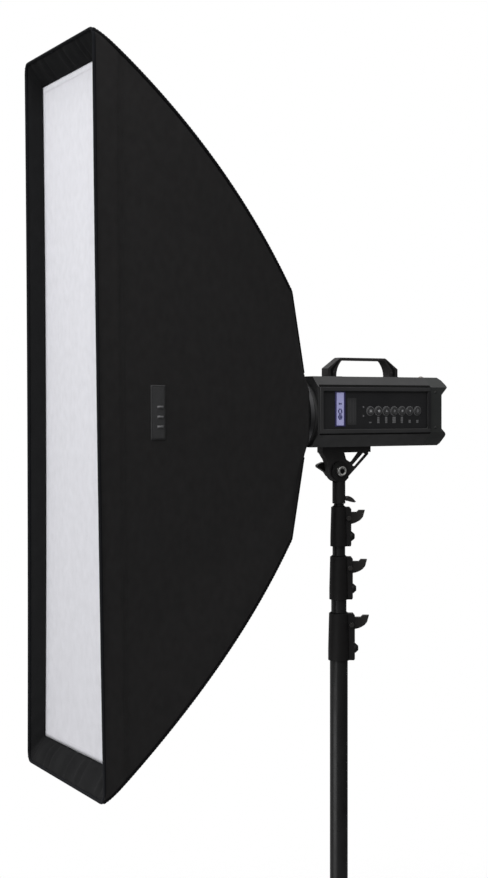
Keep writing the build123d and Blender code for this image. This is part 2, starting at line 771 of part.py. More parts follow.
for number, place in enumerate(button_places, start=1):
    with BuildPart() as button:
        with BuildSketch(side(panel_face - button_proud)):
            with Locations(place):
                Circle(button_radius)
        extrude(amount=-(button_proud + panel_thickness + 1.4))
        chamfer(button.faces().sort_by(Axis.Y)[0].edges(), 0.8)
        with BuildSketch(side(panel_back + 0.3)):
            with Locations(place):
                Circle(button_radius + 1)
        extrude(amount=-1.1)
    keep(button.part, f"button_{number}")

with BuildPart() as circuit_board:
    with BuildSketch(side(panel_back + board_gap)):
        with Locations((panel_mid_x, panel_mid_z)):
            Rectangle(panel_length - 6, panel_height - 4)
    extrude(amount=-board_thickness)
    with BuildSketch(side(panel_back + board_gap)):
        with Locations(*button_places):
            Circle(3)
    extrude(amount=board_gap - 1.4 - button_travel - running_gap)
    with BuildSketch(side(panel_back + board_gap)):
        with Locations(display_mid):
            Rectangle(display_width - 2, display_height - 4)
    extrude(amount=board_gap - seat_gap)
keep(circuit_board.part, "circuit_board")

with BuildPart() as front_collar:
    with BuildSketch(across(head_front)):
        Circle(collar_radius)
    extrude(amount=-collar_thickness)
    chamfer(front_collar.faces().sort_by(Axis.X)[0].edges(), 1)
    with BuildSketch(across(head_front - collar_thickness)):
        Circle(lamp_base_radius + 3)
        Circle(lamp_base_radius + seat_gap, mode=Mode.SUBTRACT)
    extrude(amount=-6)
keep(front_collar.part, "front_collar")
collar_face = head_front - collar_thickness

with BuildPart() as modelling_lamp:
    with BuildSketch(Plane(origin=(collar_face, 0, lamp_z), x_dir=(-1, 0, 0), z_dir=(0, -1, 0))):
        with BuildLine():
            Line((0, 0), (0, lamp_base_radius))
            Line((0, lamp_base_radius), (14, lamp_base_radius))
            Line((14, lamp_base_radius), (20, lamp_radius))
            Line((20, lamp_radius), (lamp_length - lamp_radius, lamp_radius))
            RadiusArc((lamp_length - lamp_radius, lamp_radius), (lamp_length, 0), lamp_radius)
            Line((lamp_length, 0), (0, 0))
        make_face()
    revolve(axis=Axis((collar_face, 0, lamp_z), (1, 0, 0)))
keep(modelling_lamp.part, "modelling_lamp")

with BuildPart() as flash_tube:
    with BuildSketch(side(0)):
        with Locations((tube_ring_x, tube_ring_radius)):
            Circle(tube_glass_radius)
    revolve(axis=Axis((tube_ring_x, 0, lamp_z), (1, 0, 0)))
    with BuildSketch(across(tube_ring_x)):
        with Locations((-12, -tube_ring_radius + 2), (12, -tube_ring_radius + 2)):
            Circle(tube_glass_radius - 0.5)
    extrude(amount=collar_face - tube_ring_x)
keep(flash_tube.part, "flash_tube")

with BuildPart() as capacitors:
    with BuildSketch(across(capacitor_x)):
        with Locations(*capacitor_places):
            Circle(capacitor_radius)
    extrude(amount=capacitor_length)
keep(capacitors.part, "capacitors")

with BuildPart() as rear_guard:
    with BuildSketch(side(0)):
        Polygon(
            (head_rear, head_top),
            (guard_end - 11, head_top),
            (guard_end - 4, head_top - 6),
            (guard_end, head_top - top_bevel + 3),
            (guard_end - 1, head_top - top_bevel - 1),
            (guard_waist, head_top - 35),
            (guard_waist, head_bottom + 34),
            (guard_end - 1, head_bottom + low_bevel - 4),
            (guard_end, head_bottom + low_bevel - 8),
            (guard_end - 2, head_bottom + 4),
            (guard_end - 6, head_bottom),
            (head_rear, head_bottom),
        )
    extrude(amount=head_half, both=True)
    with BuildSketch(across(head_rear)):
        Polygon(*head_outline())
    extrude(amount=guard_end - head_rear, mode=Mode.INTERSECT)
    with BuildSketch(across(head_rear)):
        Polygon(*head_outline(guard_wall))
    extrude(amount=guard_end - head_rear, mode=Mode.SUBTRACT)
    with BuildSketch(across(head_rear)):
        Polygon(*head_outline(guard_wall / 2 - seat_gap))
    extrude(amount=rear_panel_thickness, mode=Mode.SUBTRACT)
    with BuildSketch(Plane.XY.offset(lamp_z)):
        with Locations((eye_x, eye_y)):
            Circle(eye_radius + seat_gap)
    extrude(amount=head_top, mode=Mode.SUBTRACT)
keep(rear_guard.part, "rear_guard")

with BuildPart() as slave_eye:
    with BuildSketch(Plane.XY.offset(lamp_z + head_top - guard_wall - 4)):
        with Locations((eye_x, eye_y)):
            Circle(eye_radius)
    extrude(amount=guard_wall + 3)
    with Locations((eye_x, eye_y, lamp_z + head_top - 1)):
        Sphere(eye_radius - 0.5, arc_size1=0)
keep(slave_eye.part, "slave_eye")

switch_window = (switch_width + 2 * running_gap, 2 * (switch_radius + running_gap))
switch_plane = side(switch_y, lamp_z + switch_z)

with BuildPart() as rear_panel:
    with BuildSketch(across(head_rear)):
        Polygon(*head_outline(guard_wall / 2))
        with Locations((inlet_y, inlet_z)):
            Rectangle(inlet_width + 2 * seat_gap, inlet_height + 2 * seat_gap, mode=Mode.SUBTRACT)
        with Locations((switch_y, switch_z)):
            Rectangle(*switch_window, mode=Mode.SUBTRACT)
        with Locations((0, fan_z + 24)):
            with GridLocations(10, 8, 9, 4):
                SlotOverall(8, 3.4, mode=Mode.SUBTRACT)
    extrude(amount=rear_panel_thickness)
    with BuildSketch(across(head_rear)):
        with Locations((switch_y, switch_z)):
            Rectangle(switch_window[0] + 8, switch_window[1] + 6)
            Rectangle(*switch_window, mode=Mode.SUBTRACT)
    extrude(amount=-switch_frame)
    drill(switch_plane, [(head_rear, 0)], switch_pin_radius + pin_gap, switch_width / 2 + 3)
    with BuildSketch(across(head_rear)):
        with Locations((0, fan_z)):
            Circle(spindle_radius + 4)
    extrude(amount=-(head_rear - fan_x - fan_depth / 2 - running_gap))
    with BuildSketch(across(head_rear)):
        with Locations((0, fan_z)):
            Circle(spindle_radius)
    extrude(amount=-(head_rear - fan_x))
keep(rear_panel.part, "rear_panel")

with BuildPart() as mains_inlet:
    with BuildSketch(across(head_rear + rear_panel_thickness + 1)):
        with Locations((inlet_y, inlet_z)):
            Rectangle(inlet_width, inlet_height)
    extrude(amount=-(inlet_depth + rear_panel_thickness))
    with BuildSketch(across(head_rear + rear_panel_thickness)):
        with Locations((inlet_y, inlet_z)):
            RectangleRounded(inlet_width + 6, inlet_height + 6, 2)
    extrude(amount=1)
    with BuildSketch(across(head_rear + rear_panel_thickness + 1)):
        with Locations((inlet_y, inlet_z)):
            RectangleRounded(inlet_width - 4, inlet_height - 4, 3)
    extrude(amount=-inlet_depth, mode=Mode.SUBTRACT)
    with BuildSketch(across(head_rear + rear_panel_thickness - inlet_depth)):
        with Locations((inlet_y - 7, inlet_z - 2), (inlet_y, inlet_z + 3), (inlet_y + 7, inlet_z - 2)):
            Rectangle(2, 5)
    extrude(amount=inlet_depth - 6)
keep(mains_inlet.part, "mains_inlet")


def rocker_end(shift):
    """Place on the rocker's round end, above its pin: x of the part and height from the pin."""
    return (head_rear + shift, math.sqrt(switch_radius**2 - shift**2))


def mirrored(place):
    """The same place below the pin."""
    return (place[0], -place[1])


rocker_back, rocker_low, rocker_high = rocker_end(-switch_frame), rocker_end(3.7), rocker_end(5.6)

with BuildPart() as power_switch:
    with BuildSketch(switch_plane):
        with BuildLine():
            ThreePointArc(mirrored(rocker_back), (head_rear, -switch_radius), mirrored(rocker_low))
            Polyline(
                mirrored(rocker_low),
                (head_rear + 5.1, 0),
                (head_rear + 8.5, rocker_high[1] + 0.2),
                rocker_high,
            )
            ThreePointArc(rocker_high, (head_rear, switch_radius), rocker_back)
            Line(rocker_back, mirrored(rocker_back))
        make_face()
    extrude(amount=switch_width / 2, both=True)
    with BuildSketch(switch_plane):
        with Locations((head_rear, 0)):
            Circle(switch_pin_radius)
    extrude(amount=switch_width / 2 + switch_pin_length, both=True)
keep(power_switch.part, "power_switch")

with BuildPart() as fan_rotor:
    with BuildSketch(across(fan_x - fan_depth / 2)):
        with Locations((0, fan_z)):
            Circle(fan_hub_radius)
    extrude(amount=fan_depth)
    for blade in range(fan_blades):
        turn = 2 * math.pi * blade / fan_blades
        blade_out = Vector(0, math.cos(turn), math.sin(turn))
        blade_root = Vector(fan_x, 0, lamp_z + fan_z) + blade_out * (fan_hub_radius - 2)
        with BuildSketch(Plane(origin=blade_root, x_dir=(1, 0, 0), z_dir=blade_out)):
            Rectangle(fan_depth - 1, blade_thickness, rotation=35)
        extrude(amount=fan_radius - fan_hub_radius + 2)
    with BuildSketch(across(fan_x - fan_depth / 2 + 3)):
        with Locations((0, fan_z)):
            Circle(spindle_radius + pin_gap)
    extrude(amount=fan_depth, mode=Mode.SUBTRACT)
keep(fan_rotor.part, "fan_rotor")

arch_half = handle_half - handle_foot
grip_half = arch_half - 13.0
arch_middle = arch_half - 3.5
handle_plane = Plane(
    origin=(handle_centre_x, 0, lamp_z + head_top), x_dir=(1, 0, 0), z_dir=(0, -1, 0)
)

with BuildPart() as handle:
    with BuildSketch(handle_plane):
        with BuildLine():
            Polyline(
                (-arch_half, 0),
                (-handle_half, 0),
                (-handle_half, handle_shoulder),
                (-handle_top_half, handle_height),
                (handle_top_half, handle_height),
                (handle_half, handle_shoulder),
                (handle_half, 0),
                (arch_half, 0),
            )
            ThreePointArc(
                (arch_half, 0),
                (arch_middle, handle_height / 2),
                (grip_half, handle_height - handle_bar),
            )
            Line(
                (grip_half, handle_height - handle_bar),
                (-grip_half, handle_height - handle_bar),
            )
            ThreePointArc(
                (-grip_half, handle_height - handle_bar),
                (-arch_middle, handle_height / 2),
                (-arch_half, 0),
            )
        make_face()
    extrude(amount=handle_width / 2, both=True)
    chamfer(handle.edges().filter_by(Axis.X).group_by(Axis.Z)[-1], 1.5)
keep(handle.part, "handle")

# ================================================================ softbox
def rod_curve(fraction):
    """Depth and half height on the bowed edge: 0 at the kink, 1 at the front corner."""
    start, end = Vector(kink_depth, kink_half_height), Vector(0, front_half_height)
    chord = end - start
    radius = (chord.length**2 / 4 + rod_bow**2) / (2 * rod_bow)
    outward_normal = Vector(-chord.Y, chord.X).normalized() * -1
    centre = (start + end) * 0.5 - outward_normal * (radius - rod_bow)
    half_angle = math.degrees(math.asin(chord.length / 2 / radius))
    point = centre + (start - centre).rotate(Axis.Z, 2 * half_angle * fraction)
    return point.X, point.Y


def edge_half_width(half_height):
    """Half width of the box at a rod, which runs straight outward with height."""
    share = (half_height - rear_half_height) / (front_half_height - rear_half_height)
    return rear_half_width + (front_half_width - rear_half_width) * share


def box_section(depth, half_height, inset):
    """Eight corners of the box at a depth; its sides are drawn in between the rods."""
    edge = edge_half_width(half_height) - inset
    front_side = front_half_width - side_draw
    side_half = front_side + (rear_side_half - front_side) * depth / rear_depth - inset
    high = half_height - inset
    return (
        (edge, high),
        (side_half, 0.55 * high),
        (side_half, -0.55 * high),
        (edge, -high),
        (-edge, -high),
        (-side_half, -0.55 * high),
        (-side_half, 0.55 * high),
        (-edge, high),
    )


box_profile = [rod_curve(1 - step / bow_steps) for step in range(bow_steps + 1)]
box_profile.append((rear_depth, rear_half_height))


def box_solid(inset, advance):
    """Solid of the box, shrunk all round and moved forward."""
    with BuildPart() as block:
        for depth, half_height in box_profile:
            with BuildSketch(across(box_front + depth - advance)):
                Polygon(*box_section(depth, half_height, inset))
        loft(ruled=True)
    return block.part


cuff_outer = ring_radius + running_gap + cuff_wall

with BuildPart() as outer_cover:
    add(box_solid(0, 0))
    add(box_solid(cover_wall, cover_wall), mode=Mode.SUBTRACT)
    with BuildSketch(across(box_rear)):
        Circle(cuff_outer + seat_gap)
    extrude(amount=4 * cover_wall, both=True, mode=Mode.SUBTRACT)
keep(outer_cover.part, "outer_cover")

with BuildPart() as rear_cuff:
    with BuildSketch(across(cuff_front)):
        Circle(cuff_outer)
        Circle(cuff_outer - cuff_wall, mode=Mode.SUBTRACT)
    extrude(amount=cuff_length)
keep(rear_cuff.part, "rear_cuff")

lip_rear_half = (front_half_width - lip_side_inset, front_half_height - lip_end_inset)
lip_front_half = (
    front_half_width - side_draw - cover_wall - 2 * running_gap,
    front_half_height - 2 * cover_wall,
)

with BuildPart() as front_lip:
    for x, half in ((box_front, lip_front_half), (box_front + lip_depth, lip_rear_half)):
        with BuildSketch(across(x)):
            Rectangle(2 * half[0], 2 * half[1])
    loft(ruled=True)
    for x, half in ((box_front, lip_front_half), (box_front + lip_depth, lip_rear_half)):
        with BuildSketch(across(x)):
            Rectangle(2 * (half[0] - cover_wall), 2 * (half[1] - cover_wall))
    loft(ruled=True, mode=Mode.SUBTRACT)
keep(front_lip.part, "front_lip")

with BuildPart() as front_diffuser:
    with BuildSketch(across(box_front + lip_depth + seat_gap)):
        Rectangle(2 * lip_rear_half[0], 2 * lip_rear_half[1])
    extrude(amount=diffuser_thickness)
keep(front_diffuser.part, "front_diffuser")


def rod_point(depth, half_height, across_sign, up_sign):
    """Centre of a rod at a place on the edge, drawn in from the cover."""
    return Vector(
        box_front + depth - rod_inset * 0.72,
        across_sign * (edge_half_width(half_height) - rod_inset),
        lamp_z + up_sign * (half_height - rod_inset * 0.72),
    )


def rod_fraction(depth):
    """Fraction along the bowed edge at a depth."""
    low, high = 0.0, 1.0
    for _ in range(40):
        middle = (low + high) / 2
        if rod_curve(middle)[0] > depth:
            low = middle
        else:
            high = middle
    return low


tip_fraction = rod_fraction(rod_tip_depth)
corners = [(1, 1), (1, -1), (-1, -1), (-1, 1)]


def bowed_rod(corner, radius, start=0.0, end=tip_fraction):
    """Bowed stretch of one rod between two fractions of its edge."""
    places = [rod_point(*rod_curve(start + (end - start) * part / 2), *corner) for part in range(3)]
    with BuildPart() as rod:
        with BuildLine() as path:
            ThreePointArc(*places)
        with BuildSketch(Plane(origin=path.line @ 0, z_dir=path.line % 0)):
            Circle(radius)
        sweep()
    return rod.part


def rod_kink(corner):
    """Place where a rod's straight socket ends and its bow begins."""
    return rod_point(kink_depth, kink_half_height, *corner)


def socket_plane(corner, shift=0.0):
    """Plane square to a rod's straight socket, starting at the ring."""
    root = Vector(rod_root_x, corner[0] * rod_root_y, lamp_z + corner[1] * rod_root_z)
    return Plane(origin=root, z_dir=rod_kink(corner) - root).offset(shift)


with BuildPart() as rods:
    for corner in corners:
        socket = socket_plane(corner)
        with BuildSketch(socket):
            Circle(rod_socket_radius)
        extrude(amount=(rod_kink(corner) - socket.origin).length)
        with Locations(rod_kink(corner)):
            Sphere(rod_socket_radius)
        add(bowed_rod(corner, rod_radius))
keep(rods.part, "rods")

with BuildPart() as corner_pockets:
    for corner in corners:
        tip = rod_point(*rod_curve(tip_fraction), *corner)
        before = rod_point(*rod_curve(tip_fraction - 0.02), *corner)
        mouth = Plane(origin=tip, z_dir=before - tip)
        with BuildSketch(mouth.offset(-2)):
            Circle(pocket_radius)
        extrude(amount=pocket_length)
        with BuildSketch(mouth.offset(-seat_gap)):
            Circle(rod_radius + 2 * seat_gap)
        extrude(amount=pocket_length, mode=Mode.SUBTRACT)
keep(corner_pockets.part, "corner_pockets")

baffle_fraction = rod_fraction(baffle_depth)
baffle_high = rod_curve(baffle_fraction)[1]
baffle_edge = edge_half_width(baffle_high)
baffle_half_width = baffle_edge - baffle_side_gap
baffle_half_height = baffle_high - baffle_end_gap

with BuildPart() as inner_baffle:
    with BuildSketch(across(box_front + baffle_depth)):
        Rectangle(2 * baffle_half_width, 2 * baffle_half_height)
        for across_sign, up_sign in corners:
            Polygon(
                (across_sign * (baffle_half_width - strap_width), up_sign * baffle_half_height),
                (across_sign * (baffle_edge - 12), up_sign * (baffle_high - 8)),
                (across_sign * (baffle_edge - 4), up_sign * (baffle_high - 16)),
                (across_sign * baffle_half_width, up_sign * (baffle_half_height - strap_width)),
                (across_sign * (baffle_half_width - strap_width), up_sign * (baffle_half_height - strap_width)),
            )
    extrude(amount=diffuser_thickness)
    for corner in corners:
        add(
            bowed_rod(corner, rod_radius + running_gap, baffle_fraction - 0.06, baffle_fraction + 0.06),
            mode=Mode.SUBTRACT,
        )
keep(inner_baffle.part, "inner_baffle")

screw_out = outward(ring_screw_azimuth)
ring_screw_plane = Plane(
    origin=(ring_screw_x, 0, lamp_z), x_dir=(1, 0, 0), z_dir=(0, screw_out.X, screw_out.Y)
)

with BuildPart() as speedring:
    with BuildSketch(across(ring_front)):
        Circle(ring_radius)
    extrude(amount=ring_rear - ring_front)
    with BuildSketch(across(ring_flange_front)):
        Circle(ring_radius + 2)
    extrude(amount=ring_front - ring_flange_front)
    for corner in corners:
        with BuildSketch(socket_plane(corner, -lug_behind)):
            Circle(lug_radius)
        extrude(amount=lug_length)
    with BuildSketch(across(ring_front)):
        Circle(adapter_radius + running_gap)
    extrude(amount=ring_rear - ring_front, mode=Mode.SUBTRACT)
    with BuildSketch(across(ring_flange_front - 20)):
        Circle(adapter_radius + adapter_flange + 2)
    extrude(amount=ring_front - ring_flange_front + 20, mode=Mode.SUBTRACT)
    for corner in corners:
        with BuildSketch(socket_plane(corner, -seat_gap)):
            Circle(rod_socket_radius + seat_gap)
        extrude(amount=2 * lug_length, mode=Mode.SUBTRACT)
    with BuildSketch(ring_screw_plane):
        Circle(screw_radius + pin_gap)
    extrude(amount=2 * ring_radius, mode=Mode.SUBTRACT)
keep(speedring.part, "speedring")

with BuildPart() as ring_lock_screw:
    with BuildSketch(ring_screw_plane.offset(adapter_radius + 2 * running_gap)):
        Circle(screw_radius)
    extrude(amount=ring_radius + 6 - adapter_radius)
    with BuildSketch(ring_screw_plane.offset(cuff_outer + 2)):
        Circle(6)
        with PolarLocations(7, 8):
            Circle(1.6, mode=Mode.SUBTRACT)
    extrude(amount=11)
keep(ring_lock_screw.part, "ring_lock_screw")

with BuildPart() as mount_adapter:
    with BuildSketch(across(collar_face)):
        Circle(adapter_radius + adapter_flange + 3)
    extrude(amount=-(collar_face - ring_rear - running_gap))
    with BuildSketch(across(collar_face)):
        Circle(adapter_radius)
    extrude(amount=-(collar_face - adapter_front))
    with BuildSketch(across(adapter_front)):
        Circle(adapter_radius + adapter_flange)
    extrude(amount=ring_front - running_gap - adapter_front)
    with BuildSketch(across(collar_face)):
        Circle(adapter_bore)
    extrude(amount=-(collar_face - adapter_front), mode=Mode.SUBTRACT)
keep(mount_adapter.part, "mount_adapter")
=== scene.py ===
"""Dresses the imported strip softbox, its flash head and its light stand.

Metres, in the CAD frame: the column is the Z axis, the softbox shines towards -X, the control panel is
on the -Y side. Hard parts keep their CAD mesh; every fabric part is replaced by a modelled sheet.
"""

import json
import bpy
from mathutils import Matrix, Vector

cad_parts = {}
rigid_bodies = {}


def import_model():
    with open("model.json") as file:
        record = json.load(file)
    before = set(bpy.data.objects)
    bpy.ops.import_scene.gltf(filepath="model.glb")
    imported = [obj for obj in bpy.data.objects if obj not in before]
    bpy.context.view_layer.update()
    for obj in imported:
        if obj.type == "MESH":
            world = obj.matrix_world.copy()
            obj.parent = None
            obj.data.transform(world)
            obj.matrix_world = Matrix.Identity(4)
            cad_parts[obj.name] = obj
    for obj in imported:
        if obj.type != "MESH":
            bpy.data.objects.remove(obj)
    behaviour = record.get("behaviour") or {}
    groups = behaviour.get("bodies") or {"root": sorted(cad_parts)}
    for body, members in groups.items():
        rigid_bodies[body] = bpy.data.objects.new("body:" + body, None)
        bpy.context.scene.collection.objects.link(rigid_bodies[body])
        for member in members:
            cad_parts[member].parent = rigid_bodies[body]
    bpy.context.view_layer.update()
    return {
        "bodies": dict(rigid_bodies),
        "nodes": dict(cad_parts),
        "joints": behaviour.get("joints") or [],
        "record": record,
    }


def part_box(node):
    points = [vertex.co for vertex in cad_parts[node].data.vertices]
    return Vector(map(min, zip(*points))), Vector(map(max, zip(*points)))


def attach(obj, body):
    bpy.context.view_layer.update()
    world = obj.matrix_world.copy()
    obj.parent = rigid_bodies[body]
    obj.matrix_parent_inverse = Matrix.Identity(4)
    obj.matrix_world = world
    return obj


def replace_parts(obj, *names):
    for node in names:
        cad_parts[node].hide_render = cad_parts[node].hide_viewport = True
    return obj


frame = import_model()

from fnmatch import filter as matching
from itertools import product
from math import asin, atan2, copysign, cos, exp, hypot, pi, radians, sin, sqrt

import bmesh
import bpy
from mathutils import Matrix, Vector, noise

NODES = frame["nodes"]
X, Y, UP = Vector((1, 0, 0)), Vector((0, 1, 0)), Vector((0, 0, 1))
SIGNS = (-1, 1)
CORNERS = ((-1, -1), (-1, 1), (1, -1), (1, 1))
CIRCLE = 2 * pi
SOFT_PIECES = []


def span(node):
    """Low corner, high corner and middle of a CAD node."""
    low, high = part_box(node)
    return low, high, (low + high) / 2


def steps(low, high, count):
    """Even values from low to high, both included."""
    return [low + (high - low) * step / count for step in range(count + 1)]


def turns(count):
    """Even angles round a circle."""
    return [CIRCLE * step / count for step in range(count)]


def smooth(value):
    value = min(1.0, max(0.0, value))
    return value * value * (3 - 2 * value)


def waver(x, y, z):
    return noise.noise(Vector((x, y, z)))


# ======== meshes; a part is (points, faces)
def joined(name, parts):
    """One smooth mesh from several parts."""
    points, faces = [], []
    for part_points, part_faces in parts:
        start = len(points)
        points.extend(part_points)
        faces.extend(tuple(start + index for index in face) for face in part_faces)
    mesh = bpy.data.meshes.new(name)
    mesh.from_pydata(points, [], faces)
    mesh.update()
    mesh.shade_smooth()
    return mesh


def placed(name, data, place=(0, 0, 0)):
    made = bpy.data.objects.new(name, data)
    bpy.context.scene.collection.objects.link(made)
    made.location = place
    return made


def new_piece(name, mesh, body, slot, *finishes):
    """Places a mesh as a piece that rides on a body."""
    piece = placed(name, mesh)
    for finish in finishes:
        mesh.materials.append(MATERIAL[finish])
    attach(piece, body)
    return piece


def sewn(name, parts, slot, *finishes, thick=0.0):
    """A softbox piece; a sheet is thickened inwards and shows its last finish there."""
    piece = new_piece(name, joined(name, parts), "softbox", slot, *finishes)
    SOFT_PIECES.append(piece)
    if thick:
        solid = piece.modifiers.new("thickness", "SOLIDIFY")
        solid.thickness, solid.offset = thick, -1
        solid.material_offset = len(finishes) - 1
    return piece


def rigid(name, parts, slot, finish, body="head", edge=0.0, segments=2):
    """Closed parts with outward faces, smooth up to 35 degrees, and softened edges."""
    mesh = joined(name, parts)
    shape = bmesh.new()
    shape.from_mesh(mesh)
    bmesh.ops.recalc_face_normals(shape, faces=shape.faces)
    shape.to_mesh(mesh)
    shape.free()
    mesh.set_sharp_from_angle(angle=radians(35))
    piece = new_piece(name, mesh, body, slot, finish)
    if edge:
        bevel = piece.modifiers.new("edges", "BEVEL")
        bevel.width, bevel.segments, bevel.limit_method = edge, segments, "ANGLE"


def grid_faces(rows, columns, closed=False, flip=False):
    """Quads of a grid; closed joins its last column to the first."""
    faces = []
    for row, column in product(range(rows - 1), range(columns if closed else columns - 1)):
        here, after = row * columns + column, row * columns + (column + 1) % columns
        quad = (here, after, after + columns, here + columns)
        faces.append(quad[::-1] if flip else quad)
    return faces


def lattice(rows, columns, place, closed=False, flip=False):
    """Sheet whose points are place(row, column)."""
    points = [place(row, column) for row in rows for column in columns]
    return points, grid_faces(len(rows), len(columns), closed, flip)


def tube(points, size, first=True, last=True):
    """Rings of size points each, with end faces."""
    faces = grid_faces(len(points) // size, size, closed=True)
    if first:
        faces.append(tuple(range(size))[::-1])
    if last:
        faces.append(tuple(range(len(points) - size, len(points))))
    return points, faces


def swept(path, frames, section, closed=False):
    """Section swept along a path; frames holds each point's two side directions."""
    points = [place + one * a + two * b for place, (one, two) in zip(path, frames) for a, b in section]
    size, last = len(section), len(points) - len(section)
    faces = tube(points, size, not closed, not closed)[1]
    if closed:
        faces += [(last + a, last + (a + 1) % size, (a + 1) % size, a) for a in range(size)]
    return points, faces


def ring_section(radius, sides):
    return [(radius * cos(turn), radius * sin(turn)) for turn in turns(sides)]


def path_frames(path, facing):
    """Each point's direction close to facing, and the one square to it and the path."""
    facing, frames = Vector(facing).normalized(), []
    for index in range(len(path)):
        ahead = path[min(index + 1, len(path) - 1)] - path[max(index - 1, 0)]
        second = ahead.cross(facing).normalized()
        frames.append((second.cross(ahead).normalized(), second))
    return frames


def stitches(path, normals, pitch, length, radius):
    """Short threads along a path that dive in at both ends."""
    parts = []
    travelled, wanted = 0.0, pitch / 2
    for index, (start, end) in enumerate(zip(path, path[1:])):
        step = (end - start).length
        while step > 0 and wanted <= travelled + step:
            place = start.lerp(end, (wanted - travelled) / step)
            along = (end - start).normalized()
            normal = normals if isinstance(normals, Vector) else normals[index]
            across = along.cross(normal)
            points = []
            for shift, rise in ((-0.5, -0.6), (-0.25, 0.55), (0.25, 0.55), (0.5, -0.6)):
                middle = place + along * (shift * length) + normal * (rise * radius)
                points.extend(middle + normal * a + across * b for a, b in ring_section(radius, 4))
            parts.append((points, grid_faces(4, 4, closed=True)))
            wanted += pitch
        travelled += step
    return parts


def outwards(axis, count):
    """Even directions square to a unit axis."""
    first = axis.orthogonal().normalized()
    second = axis.cross(first)
    return [first * cos(turn) + second * sin(turn) for turn in turns(count)]


def lathe(profile, centre, axis, sides=48, hoop=False):
    """Profile of (distance along axis, radius) turned about the axis; a hoop's is closed."""
    axis = axis.normalized()
    rays = outwards(axis, sides)
    profile = profile + profile[:1] if hoop else profile
    points = [centre + axis * along + ray * radius for along, radius in profile for ray in rays]
    return tube(points, sides, profile[0][1] > 0 and not hoop, profile[-1][1] > 0 and not hoop)


def washer(centre, axis, inner, outer, height):
    """Flat ring with a domed face."""
    crown, edge = (height, (inner + outer) / 2), height * 0.6
    profile = [(-height, inner), (edge, inner), crown, (edge, outer), (-height, outer)]
    return lathe(profile, centre, axis, 40, hoop=True)


def disc(centre, axis, radius, height, sides=32):
    """Low domed disc."""
    profile = [(-height, radius), (height * 0.6, radius), (height, radius * 0.8), (height * 1.1, 0.0)]
    return lathe(profile, centre, axis, sides)


def block(centre, size, turn=None):
    points = []
    for halves in product((-0.5, 0.5), repeat=3):
        corner = Vector([half * length for half, length in zip(halves, size)])
        points.append(centre + (turn @ corner if turn else corner))
    return points, [(0, 1, 3, 2), (4, 6, 7, 5), (0, 4, 5, 1), (2, 3, 7, 6), (0, 2, 6, 4), (1, 5, 7, 3)]


# ======== materials
class Graph:
    """Nodes of one shader tree."""

    def __init__(self, tree):
        self.tree = tree

    def node(self, kind, links=None, **values):
        """Adds a node with linked or set inputs and gives its outputs."""
        made = self.tree.nodes.new("ShaderNode" + kind)
        for key, value in values.items():
            setattr(made, key, value)
        for socket, source in (links or {}).items():
            if hasattr(source, "is_output"):
                self.tree.links.new(source, made.inputs[socket])
            else:
                made.inputs[socket].default_value = source
        return made.outputs

    def math(self, operation, first, second=0.0):
        return self.node("Math", {0: first, 1: second}, operation=operation)[0]

    def ramp(self, source, low, high, start=0.3, end=0.7, **values):
        """Maps start to end onto low to high."""
        links = {"Value": source, "From Min": start, "From Max": end, "To Min": low, "To Max": high}
        return self.node("MapRange", links, **values)[0]

    def seen(self, rays):
        """1 for rays from the camera or through glass."""
        return self.math("MAXIMUM", rays["Is Camera Ray"], rays["Is Transmission Ray"])


class Surface(Graph):
    """A procedural material on a Principled shader."""

    def __init__(self, colour, roughness, gloss=0.5, **sockets):
        self.material = bpy.data.materials.new("finish")
        self.material.use_nodes = True
        super().__init__(self.material.node_tree)
        self.shader = self.tree.nodes["Principled BSDF"].inputs
        self.base = (*colour, 1.0)
        sockets.update(Base_Color=self.base, Roughness=roughness, Specular_IOR_Level=gloss)
        for socket, value in sockets.items():
            self.shader[socket.replace("_", " ")].default_value = value
        self.coordinates = self.node("TexCoord")["Object"]
        self.colour, self.normal = colour, None

    def drive(self, socket, source):
        self.tree.links.new(source, self.shader[socket])

    def noise(self, scale, detail=2.0, stretch=(1, 1, 1)):
        place = self.node("Mapping", {"Vector": self.coordinates, "Scale": stretch})[0]
        return self.node("TexNoise", {"Vector": place, "Scale": scale, "Detail": detail})["Fac"]

    def tint(self, factor, other):
        """Mixes another colour into the base."""
        self.base = self.node("Mix", {0: factor, 6: self.base, 7: (*other, 1.0)}, data_type="RGBA")[2]
        self.drive("Base Color", self.base)
        return self

    def bend(self, outputs):
        """Shades with another normal."""
        self.normal = outputs[0]
        self.drive("Normal", self.normal)

    def bump(self, height, strength, distance):
        links = {"Height": height, "Strength": strength, "Distance": distance}
        if self.normal:
            links["Normal"] = self.normal
        self.bend(self.node("Bump", links))

    def soften(self, radius):
        """Rounds the shading of hard edges."""
        self.bend(self.node("Bevel", {"Radius": radius}, samples=6))

    def weave(self, axes, pitch, strength):
        """Plain weave along two axes: a bump, and painted shade that darkens the gaps between the threads."""
        parts = self.node("SeparateXYZ", {0: self.coordinates})
        phases = [self.math("MULTIPLY", parts["XYZ".index(axis)], CIRCLE / pitch) for axis in axes]
        height = self.math("MULTIPLY", *(self.math("SINE", phase) for phase in phases))
        self.bump(height, strength, pitch / 6)
        # painted shade in the gaps between the threads
        gap = self.math("MULTIPLY", self.math("ABSOLUTE", height), 0.25)
        self.tint(gap, scaled(self.colour, 0.45))


def scaled(colour, factor, offset=0.0):
    return [min(1.0, channel * factor + offset) for channel in colour]


def moulded(colour, roughness, gloss=0.5, grain=0.0, edge=0.0006, **sockets):
    """Moulded or painted: fine texture, uneven sheen, faint scuffs."""
    surface = Surface(colour, roughness, gloss, **sockets)
    surface.soften(edge)
    surface.drive("Roughness", surface.ramp(surface.noise(45, 3), roughness - 0.06, roughness + 0.08))
    if grain:
        surface.bump(surface.noise(1600, 2), grain, 0.0002)
    return surface.tint(surface.ramp(surface.noise(22, 4), 0.0, 0.35), scaled(colour, 1.45, 0.004))


